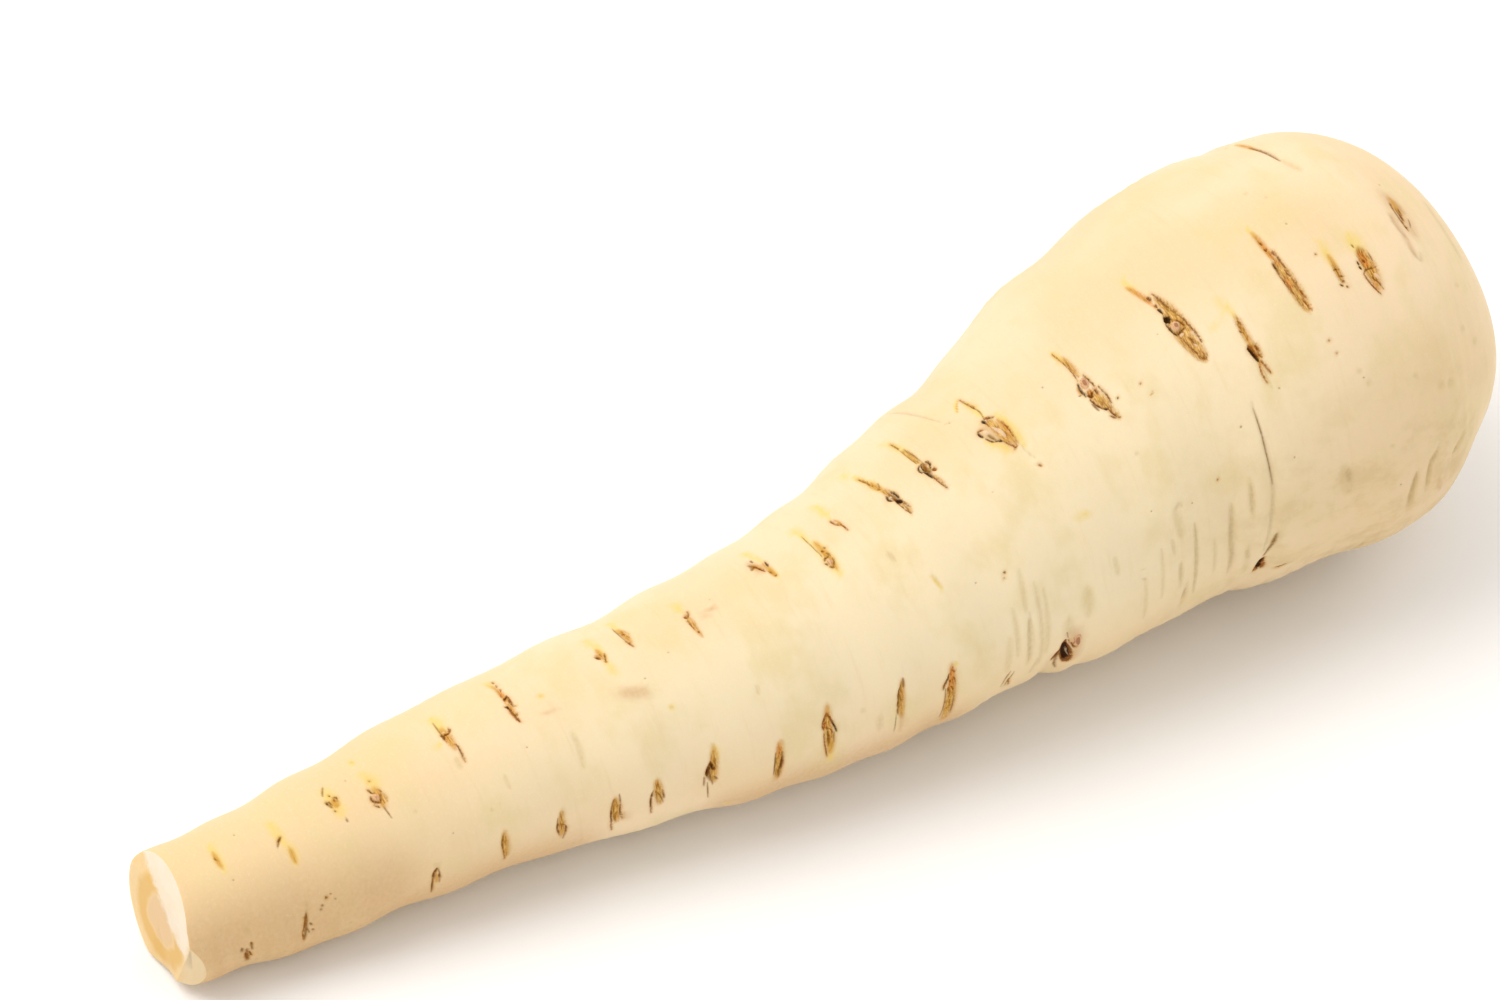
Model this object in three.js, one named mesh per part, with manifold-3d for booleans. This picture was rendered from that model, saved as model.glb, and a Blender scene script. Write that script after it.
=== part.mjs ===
import * as THREE from 'three';
import { mergeVertices } from 'three/addons/utils/BufferGeometryUtils.js';
import Module from 'manifold-3d';

// A trimmed parsnip root lying on its side. It grew as one piece, so it is one solid.
// X runs along the root from the tip cut to the crown, Y goes across and Z is up.
// Lengths are in millimetres and angles in degrees. A place on the skin is given by its distance
// from the tip and its angle round the root: 0 faces +Y, 90 is the top and 180 faces -Y.

// Driving dimensions
const LENGTH = 220;
const MIDDLE_CLEARANCE = 2;
const CROWN_CLEARANCE = 1.2;

// The root lies on its tip and its shoulder: how far from the tip each rest is, and how much skin
// the ground takes off there to leave a small flat
const TIP_REST = { along: 10, depth: 0.2 };
const SHOULDER_REST = { along: 172, depth: 0.65 };

// How finely the skin is divided
const SECTORS = 32;
const BODY_STEP = 4;
const CROWN_STEP = 2.5;
const CROWN_STARTS = 185;

// Half the root's outline, as distance from the tip and radius. It starts a little beyond the tip
// cut, widens to the shoulder, turns in over the crown and ends on the trimmed leaf stalks' stub.
const OUTLINE = [
  [-5, 9.4], [0, 10], [19, 11.5], [43, 13.6], [67, 15.2], [91, 17], [110, 19], [124, 22],
  [139, 24.3], [153, 26.7], [167, 29.4], [182, 32.6], [193, 33], [202, 31.3], [208.5, 28.2],
  [214, 24], [217.6, 20.5], [219.6, 17.5], [LENGTH, 14], [219, 11.5], [216, 9.5], [214.5, 8.2],
  [215.5, 7.4], [218, 7], [218.6, 6.2], [218.8, 3.5], [218.5, 0],
];

// How far the middle of the root strays along Y, at equal steps from the tip to the crown
const BEND = [4.8, 1.2, -3.4, -3.6, 0.6, -1.8];

// Beyond this distance the middle of the root keeps its height, so the crown closes evenly
const AXIS_LEVELS_OFF = 197;

// Broad swellings and hollows: distance, angle, height, reach along the root, reach in degrees
const SWELLINGS = [
  [17, 218, 0.8, 7, 35], [52, 218, -0.9, 12, 35], [99, 218, 1.5, 11, 35], [134, 218, -1.9, 7, 30],
  [158, 218, -1.1, 7, 30], [170.5, 218, -1, 4.5, 24], [184, 218, -0.6, 12, 35],
  [189, 218, -0.5, 3.5, 28], [201, 218, 0.8, 6, 28], [215, 190, -0.4, 4, 35],
  [20, 38, -0.6, 8, 30], [157, 38, 2.1, 8, 30], [193, 38, -1.6, 7, 28], [212, 38, 2.3, 5.5, 28],
  [60, 330, 0.9, 11, 40], [118, 320, -0.9, 12, 35], [150, 310, 0.8, 10, 35],
];

// The skin is slightly oval and lobed: share of the radius, number of lobes and where they start
const LOBES = [
  { share: 0.01, count: 2, start: -0.8 },
  { share: 0.007, count: 3, start: 1 },
];

// Irregular rings run round the root: their height, spacing, how their spacing comes and goes
// along the root, and how they sway round it
const RINGS = [
  { height: 0.2, spacing: 2.1, change: 1.7, changeReach: 19, sway: 0.8, swayCount: 1, start: 0 },
  { height: 0.17, spacing: 3.4, change: 0, changeReach: 19, sway: 1.1, swayCount: 2, start: 0.7 },
];

// Where the crown's skin steps up over the shoulder's: distance at the fold's middle, angle of
// its middle, reach in degrees, how far it drifts towards the crown per degree, half the width
// of the step, its height and how soon it fades towards the crown
const CROWN_STEP_FOLD = {
  along: 196.6, angle: 60, reach: 22, drift: 0.09, halfWidth: 1.2, height: 0.9, fade: 9,
};

// Side root scars in the two rows on the top and on the -Y side: distance, angle, half length
// round the root and slant towards the crown. A fifth number says that a broken stub stands in
// the scar, and where: from -1 to 1 along its length.
const UPPER_ROW = [
  [9.3, 99, 3.2, 0.07], [18.6, 108, 4.1, 0.06], [27.7, 100, 3.5, 0.12],
  [33.6, 110, 3.4, 0.05, 0], [46.8, 94, 5.2, 0.06, -0.2], [57, 86, 5.4, -0.05],
  [72.2, 88, 3, 0], [77.1, 80, 3.6, 0.03], [86.1, 92, 3.2, 0.08],
  [99.8, 82, 4.3, 0.2], [108.1, 95, 4.6, 0.1, 0.3], [112.5, 82, 4, 0.13],
  [120.1, 86, 7.2, 0.22, 0.18], [126.9, 87, 6.6, 0.16, 0.1], [138.6, 92, 7.6, 0.18, -0.1],
  [152.8, 103, 6.8, 0.17, -0.1], [167.9, 102, 8.7, 0.19, 0.18], [175.8, 125, 5.4, 0.07],
  [184.8, 110, 7.5, 0.12], [192.1, 116, 3.6, 0.04], [197.3, 118, 4.6, 0.05],
  [208.4, 104, 4.6, 0.08],
];
const LOWER_ROW = [
  [9, 188, 2.6, 0], [18, 181, 3.6, -0.08], [38.1, 182, 3.5, -0.12], [49, 178, 3.3, 0],
  [57.6, 177, 3.5, 0], [65.8, 182, 4.2, -0.1], [72.1, 178, 3.5, -0.1], [80.6, 172, 5, -0.18],
  [91, 184, 4.2, -0.15], [99, 175, 4.8, -0.08], [110.4, 174, 3.8, -0.16],
  [118.6, 184, 6.4, -0.08], [128.4, 193, 1.8, 0], [138.6, 191, 3.8, 0.1, -0.2],
];

// The rows on the underside and the +Y side follow the same habit, with seeded random draws
const HIDDEN_ROWS = [
  { angle: 268, seed: 7 },
  { angle: 357, seed: 19 },
];
const HIDDEN_ROW_ENDS = [24, 206];
const REST_KEPT_CLEAR = 17;

// What the draws give: a hidden scar's least half length, what it gains with the root's radius,
// how far it strays round the root, its slant, and its distance from the next one
const HIDDEN_LENGTH = { least: 2.4, perRadius: 0.07, spread: 0.13 };
const HIDDEN_STRAY = 18;
const HIDDEN_SLANT = { spread: 0.3, middle: 0.4 };
const HIDDEN_GAP = { least: 7.5, spread: 8 };

// Thin folds in the skin: distance, angle, half length round the root and slant
const SKIN_FOLDS = [
  [172.1, 163, 15, -0.05], [132.5, 57, 7.5, 0.11], [116, 283, 9, 0.1], [178, 330, 12, -0.06],
];
const FOLD_HALF_WIDTH = 0.55;
const FOLD_DEPTH = 0.6;

// The pit where the long fold ends: distance, angle, half length round the root and slant
const FOLD_PIT = [171.2, 193, 2.3, 0.12];
const PIT_HALF_WIDTH = 1.5;
const PIT_DEPTH = 2.4;

// Knife cuts at the tip: the angle that each leans towards, how far from the root's middle it
// meets the main cut, its distance there and its lean from square
const KNIFE_CUTS = [
  { angle: 75, across: 0, along: 0.4, lean: 7 },
  { angle: 80, across: 5, along: 1.05, lean: 17 },
  { angle: 191, across: 8, along: -0.09, lean: 41.6 },
];

const degrees = THREE.MathUtils.degToRad;

function bell(distance, reach) {
  return Math.exp(-0.5 * (distance / reach) ** 2);
}

// Signed angle from one place to another, from -180 to 180
function angleBetween(from, to) {
  return THREE.MathUtils.euclideanModulo(to - from + 180, 360) - 180;
}

const outline = new THREE.SplineCurve(OUTLINE.map(([along, radius]) => new THREE.Vector2(along, radius)));
const bend = new THREE.SplineCurve(BEND.map((stray, i) => new THREE.Vector2(i, stray)));

// The outline as points close enough together for a straight look-up between them
const OUTLINE_SAMPLES = outline.getPoints(40 * OUTLINE.length);

function radiusAt(along) {
  const next = OUTLINE_SAMPLES.findIndex((point) => point.x >= along);
  const before = OUTLINE_SAMPLES[Math.max(next - 1, 0)];
  const after = OUTLINE_SAMPLES[Math.max(next, 1)];
  const part = (along - before.x) / (after.x - before.x);
  return THREE.MathUtils.lerp(before.y, after.y, part);
}

// Height of the underside over the ground: a little under it at the two rests, with a gap
// between them and another beyond them under the crown
function undersideAt(along) {
  const part = (along - TIP_REST.along) / (SHOULDER_REST.along - TIP_REST.along);
  const between = THREE.MathUtils.clamp(part, 0, 1);
  const beyond = Math.max(along - SHOULDER_REST.along, 0) / (AXIS_LEVELS_OFF - SHOULDER_REST.along);
  const depth = THREE.MathUtils.lerp(TIP_REST.depth, SHOULDER_REST.depth, between);
  return MIDDLE_CLEARANCE * Math.sin(Math.PI * between) ** 2 + CROWN_CLEARANCE * beyond ** 2 - depth;
}

function middleAt(along) {
  const level = Math.min(along, AXIS_LEVELS_OFF);
  const place = THREE.MathUtils.clamp(along / LENGTH, 0, 1);
  const height = radiusAt(level) + undersideAt(level);
  return new THREE.Vector3(along - LENGTH / 2, bend.getPoint(place).y, height);
}

// Slight ovalness, broad flats and the irregular rings that run round the root
function unevenness(along, angle) {
  const turn = degrees(angle);
  const radius = radiusAt(Math.min(along, AXIS_LEVELS_OFF));
  let height = 0;
  for (const { share, count, start } of LOBES) {
    height += radius * share * Math.cos(count * turn + start);
  }
  for (const ring of RINGS) {
    const changed = ring.change * Math.sin(along / ring.changeReach);
    const swayed = ring.sway * Math.sin(ring.swayCount * turn + ring.start);
    height += ring.height * Math.sin(along / ring.spacing + changed + swayed);
  }
  return height;
}

function crownStep(along, angle) {
  const fold = CROWN_STEP_FOLD;
  const off = angleBetween(fold.angle, angle);
  const past = along - (fold.along + fold.drift * off);
  const rise = THREE.MathUtils.smoothstep(past, -fold.halfWidth, fold.halfWidth);
  return fold.height * rise * bell(Math.max(past, 0), fold.fade) * bell(off, fold.reach);
}

// How far the skin stands out from the plain outline
function skinLift(along, angle) {
  let lift = unevenness(along, angle) + crownStep(along, angle);
  for (const [centre, direction, height, reachAlong, reachRound] of SWELLINGS) {
    lift += height * bell(along - centre, reachAlong) * bell(angleBetween(direction, angle), reachRound);
  }
  return lift;
}

function pointFrom(along, angle, radius) {
  const turn = degrees(angle);
  const point = middleAt(along);
  point.y += radius * Math.cos(turn);
  point.z += radius * Math.sin(turn);
  return point;
}

function skinPoint(along, angle, height) {
  return pointFrom(along, angle, radiusAt(along) + skinLift(along, angle) + height);
}

// Turn a three.js geometry into a solid whose shared corners are one
const wasm = await Module();
wasm.setup();

function solidFrom(geometry) {
  geometry.deleteAttribute('normal');
  geometry.deleteAttribute('uv');
  const closed = mergeVertices(geometry, 1e-4);
  const vertProperties = closed.getAttribute('position').array;
  const triVerts = Uint32Array.from(closed.getIndex().array);
  return new wasm.Manifold(new wasm.Mesh({ numProp: 3, vertProperties, triVerts }));
}

// Move every corner of a geometry to where the given function sends it
function reshape(geometry, send) {
  const position = geometry.getAttribute('position');
  const corner = new THREE.Vector3();
  for (let i = 0; i < position.count; i++) {
    corner.fromBufferAttribute(position, i);
    const moved = send(corner);
    position.setXYZ(i, moved.x, moved.y, moved.z);
  }
  return geometry;
}

// The outline divided into steps, finer over the crown, with both ends closed on the axis
function lathePoints() {
  const points = [new THREE.Vector2(0, OUTLINE[0][0])];
  for (let i = 0; i < OUTLINE.length - 1; i++) {
    const from = new THREE.Vector2(...OUTLINE[i]);
    const to = new THREE.Vector2(...OUTLINE[i + 1]);
    const step = from.x < CROWN_STARTS ? BODY_STEP : CROWN_STEP;
    const count = Math.max(1, Math.round(from.distanceTo(to) / step));
    for (let k = 0; k < count; k++) {
      const point = outline.getPoint((i + k / count) / (OUTLINE.length - 1));
      points.push(new THREE.Vector2(point.y, point.x));
    }
  }
  points.push(new THREE.Vector2(0, OUTLINE.at(-1)[0]));
  return points;
}

// The stub of the leaf stalks is ribbed. The crown's rim round it is uneven, and it stands
// further out on the side that the given angle faces.
const STUB_RADIUS = 9;
const STALK_RIBS = { count: 7, height: 0.5, reach: 2.5 };
const RIM_LOBES = [
  { height: 0.3, count: 2, start: 1 },
  { height: 0.2, count: 3, start: 0 },
];
const CROWN_LEAN = 0.2;
const CROWN_LEAN_ANGLE = 38;

function rimUnevenness(turn) {
  let reach = CROWN_LEAN * Math.cos(turn - degrees(CROWN_LEAN_ANGLE));
  for (const { height, count, start } of RIM_LOBES) {
    reach += height * Math.sin(count * turn + start);
  }
  return reach;
}

function wholeRoot() {
  const lathe = new THREE.LatheGeometry(lathePoints(), SECTORS);
  return solidFrom(reshape(lathe, (corner) => {
    const radius = Math.hypot(corner.x, corner.z);
    const turn = Math.atan2(corner.x, corner.z);
    const angle = THREE.MathUtils.radToDeg(turn);
    const nearAxis = Math.min(radius / STUB_RADIUS, 1);
    const onCrown = THREE.MathUtils.smoothstep(corner.y, AXIS_LEVELS_OFF, LENGTH);
    const ribs = onCrown * bell(radius - STUB_RADIUS, STALK_RIBS.reach) * STALK_RIBS.height;
    const lift = skinLift(corner.y, angle) * nearAxis + ribs * Math.cos(STALK_RIBS.count * turn);
    const point = pointFrom(corner.y, angle, radius + lift);
    point.x += onCrown * nearAxis * rimUnevenness(turn);
    return point;
  }));
}

// A spindle laid along the skin. Its middle lies on the skin, and it reaches the given
// height above it and depth below it. Its length runs round the root, slanting by its slope.
function spindle([along, angle, halfLength, slant], halfWidth, above, below, sides, bands) {
  const ball = new THREE.SphereGeometry(1, sides, bands);
  const perMillimetre = THREE.MathUtils.radToDeg(1 / radiusAt(along));
  return solidFrom(reshape(ball, (corner) => {
    const taper = Math.hypot(corner.x, corner.z);
    const round = corner.y * halfLength;
    const across = corner.z * taper * halfWidth;
    const height = corner.x * taper * (corner.x > 0 ? above : below);
    return skinPoint(along + slant * round + across, angle + round * perMillimetre, height);
  }));
}

// Long scars are hollowed with a rounded floor, and short ones with a plain groove. The longer
// a scar is, the wider and the deeper it is.
const LONG_SCAR = 6.5;
const SCAR_ABOVE = 1.4;
const SCAR_HALF_WIDTH = { least: 0.7, perLength: 0.07 };
const SCAR_DEPTH = { least: 0.65, perLength: 0.08 };

function grown(size, halfLength) {
  return size.least + size.perLength * halfLength;
}

function scarHollow(scar) {
  const halfLength = scar[2];
  const [sides, bands] = halfLength > LONG_SCAR ? [6, 6] : [4, 4];
  const halfWidth = grown(SCAR_HALF_WIDTH, halfLength);
  return spindle(scar, halfWidth, SCAR_ABOVE, grown(SCAR_DEPTH, halfLength), sides, bands);
}

// The round end of a broken side root, sunk well into its scar
const STUB_TOP = 0.3;
const STUB_ROOT = 3.7;
const STUB_ROUND_REACH = { least: 0.9, perLength: 0.07 };
const STUB_ALONG_REACH = { least: 0.5, perLength: 0.05 };

function scarStub([along, angle, halfLength, slant, place]) {
  const ball = new THREE.SphereGeometry(1, 6, 4);
  const roundReach = grown(STUB_ROUND_REACH, halfLength);
  const alongReach = grown(STUB_ALONG_REACH, halfLength);
  const perMillimetre = THREE.MathUtils.radToDeg(1 / radiusAt(along));
  const offset = place * halfLength;
  return solidFrom(reshape(ball, (corner) => skinPoint(
    along + slant * offset + corner.z * alongReach,
    angle + (offset + corner.y * roundReach) * perMillimetre,
    THREE.MathUtils.mapLinear(corner.x, -1, 1, -STUB_ROOT, STUB_TOP),
  )));
}

// Repeatable random numbers from 0 to 1
function randomFrom(seed) {
  let state = seed;
  return () => {
    state = (state * 16807) % 2147483647;
    return state / 2147483647;
  };
}

function nearRest(along) {
  return [TIP_REST, SHOULDER_REST].some((rest) => Math.abs(along - rest.along) < REST_KEPT_CLEAR);
}

function hiddenRow({ angle, seed }) {
  const random = randomFrom(seed);
  const row = [];
  let [along] = HIDDEN_ROW_ENDS;
  while (along < HIDDEN_ROW_ENDS[1]) {
    const perRadius = HIDDEN_LENGTH.perRadius + HIDDEN_LENGTH.spread * random();
    const halfLength = HIDDEN_LENGTH.least + radiusAt(along) * perRadius;
    const strayed = angle + HIDDEN_STRAY * (random() - 0.5);
    const slant = HIDDEN_SLANT.spread * (random() - HIDDEN_SLANT.middle);
    if (angle !== HIDDEN_ROWS[0].angle || !nearRest(along)) {
      row.push([along, strayed, halfLength, slant]);
    }
    along += HIDDEN_GAP.least + HIDDEN_GAP.spread * random();
  }
  return row;
}

// A block whose near face is the knife's path and that takes off all beyond it
const BLOCK = 60;

function knifeBlock({ angle, across, along, lean }) {
  const block = new THREE.BoxGeometry(BLOCK, BLOCK, BLOCK);
  block.translate(-BLOCK / 2, 0, 0);
  block.rotateY(degrees(lean));
  block.rotateX(degrees(angle - 90));
  const place = pointFrom(along, angle, across);
  return solidFrom(block.translate(place.x, place.y, place.z));
}

function groundBlock() {
  const block = new THREE.BoxGeometry(LENGTH * 2, LENGTH, BLOCK);
  return solidFrom(block.translate(0, 0, -BLOCK / 2));
}

function joined(solids) {
  return solids.reduce((all, solid) => all.add(solid));
}

const scars = [...UPPER_ROW, ...LOWER_ROW, ...HIDDEN_ROWS.flatMap(hiddenRow)];
const stubbed = scars.filter((scar) => scar.length > 4);
const folds = SKIN_FOLDS.map((fold) => spindle(fold, FOLD_HALF_WIDTH, 1, FOLD_DEPTH, 4, 10));
const pit = spindle(FOLD_PIT, PIT_HALF_WIDTH, SCAR_ABOVE, PIT_DEPTH, 6, 4);
const hollows = joined([...scars.map(scarHollow), ...folds, pit]);
const solid = KNIFE_CUTS.map(knifeBlock)
  .reduce((left, block) => left.subtract(block), wholeRoot())
  .subtract(hollows)
  .add(joined(stubbed.map(scarStub)))
  .subtract(groundBlock());

// The finished solid as a mesh, centred over the origin and lying on Z = 0
function centredGeometry(finished) {
  const { vertProperties, triVerts } = finished.getMesh();
  const geometry = new THREE.BufferGeometry();
  geometry.setAttribute('position', new THREE.BufferAttribute(vertProperties, 3));
  geometry.setIndex(new THREE.BufferAttribute(triVerts, 1));
  geometry.computeBoundingBox();
  const middle = geometry.boundingBox.getCenter(new THREE.Vector3());
  geometry.translate(-middle.x, -middle.y, 0);
  geometry.computeVertexNormals();
  return geometry;
}

const skin = new THREE.MeshStandardMaterial({ color: 0xf0dcb2, roughness: 0.55, metalness: 0 });
const root = new THREE.Mesh(centredGeometry(solid), skin);
root.name = 'parsnip_root';

const parsnip = new THREE.Group();
parsnip.add(root);

export default parsnip;
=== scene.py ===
import math
import random

import bmesh
import bpy
import numpy as np
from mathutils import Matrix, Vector


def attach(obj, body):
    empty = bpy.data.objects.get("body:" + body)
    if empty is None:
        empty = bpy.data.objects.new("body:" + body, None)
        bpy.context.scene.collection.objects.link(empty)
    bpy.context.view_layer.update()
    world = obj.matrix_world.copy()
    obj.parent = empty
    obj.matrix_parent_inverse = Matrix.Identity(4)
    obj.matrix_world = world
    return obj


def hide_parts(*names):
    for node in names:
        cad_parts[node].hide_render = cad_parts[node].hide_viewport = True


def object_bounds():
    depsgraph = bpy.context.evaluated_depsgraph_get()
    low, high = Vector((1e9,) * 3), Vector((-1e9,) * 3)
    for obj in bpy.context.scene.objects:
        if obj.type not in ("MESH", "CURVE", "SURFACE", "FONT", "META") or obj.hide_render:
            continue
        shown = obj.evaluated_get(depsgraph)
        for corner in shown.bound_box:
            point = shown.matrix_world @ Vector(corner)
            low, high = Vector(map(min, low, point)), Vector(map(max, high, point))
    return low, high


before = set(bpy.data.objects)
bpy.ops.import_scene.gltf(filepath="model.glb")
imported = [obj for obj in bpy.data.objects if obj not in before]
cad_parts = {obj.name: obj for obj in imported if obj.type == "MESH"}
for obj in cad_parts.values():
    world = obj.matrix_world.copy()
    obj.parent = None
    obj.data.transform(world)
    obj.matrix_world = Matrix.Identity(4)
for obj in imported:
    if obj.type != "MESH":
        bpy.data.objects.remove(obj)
cad_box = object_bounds()

# A trimmed parsnip root lying on its side. It is shaped in millimetres, with X along the root from
# the tip cut to the crown and Z up, and brought to metres when it is done. A place on the skin is
# its distance from the tip and its angle round the root in degrees: 0 faces +Y, 90 is the top and
# 180 faces -Y.
MILLIMETRE = 0.001
LENGTH = 220

# How the root lies: how far its middle and its crown clear the ground, and where the tip and the
# shoulder rest, with how much is pressed flat there
MIDDLE_CLEARANCE = 2
CROWN_CLEARANCE = 1.2
TIP_REST = (10, 0.2)
SHOULDER_REST = (172, 0.65)

# Half the root's outline: distance from the tip and radius
OUTLINE = [
    (-5, 9.4), (0, 10), (19, 11.5), (43, 13.6), (67, 15.2), (91, 17), (110, 19), (124, 22),
    (139, 24.3), (153, 26.7), (167, 29.4), (182, 32.6), (193, 33), (202, 31.3), (208.5, 28.2),
    (214, 24), (217.6, 20.5), (219.6, 17.5), (LENGTH, 14), (219, 11.5), (216, 9.5), (214.5, 8.2),
    (215.5, 7.4), (218, 7), (218.6, 6.2), (218.8, 3.5), (218.5, 0),
]

# How far the middle of the root strays along Y, at equal steps from the tip to the crown, and from
# where on it runs level
BEND = [4.8, 1.2, -3.4, -3.6, 0.6, -1.8]
AXIS_LEVELS_OFF = 197

# Broad swellings and hollows: distance, angle, height, reach along the root, reach in degrees
SWELLINGS = [
    (17, 218, 0.8, 7, 35), (52, 218, -0.9, 12, 35), (99, 218, 1.5, 11, 35),
    (134, 218, -1.9, 7, 30), (158, 218, -1.1, 7, 30), (170.5, 218, -1, 4.5, 24),
    (184, 218, -0.6, 12, 35), (189, 218, -0.5, 3.5, 28), (201, 218, 0.8, 6, 28),
    (215, 190, -0.4, 4, 35), (20, 38, -0.6, 8, 30), (157, 38, 2.1, 8, 30),
    (193, 38, -1.6, 7, 28), (212, 38, 2.3, 5.5, 28), (60, 330, 0.9, 11, 40),
    (118, 320, -0.9, 12, 35), (150, 310, 0.8, 10, 35),
]

# The crown's skin steps up over the shoulder's: distance, angle, reach in degrees, drift, height
CROWN_STEP = (196.6, 60, 22, 0.09, 0.9)

# The trimmed leaf stalks: the radius of their stub and the ribs round it, and how far the crown
# leans and towards which angle
STUB_RADIUS = 9
STALK_RIBS = 7
CROWN_LEAN = (0.2, 38)

# Knife cuts at the tip: the angle that each leans towards, how far from the root's middle it
# meets the main cut, its distance there and its lean from square
KNIFE_CUTS = [(75, 0, 0.4, 7), (80, 5, 1.05, 17), (191, 8, -0.09, 41.6)]

# How finely the skin is divided, and how much more finely near its marks
SECTORS = 144
RING_STEP = 1.25
CROWN_RING_STEP = 0.75
MARK_STEPS = {"near": 0.7, "close": 0.36, "drawn": 0.2}
LONG_EDGE = 1.4

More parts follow.
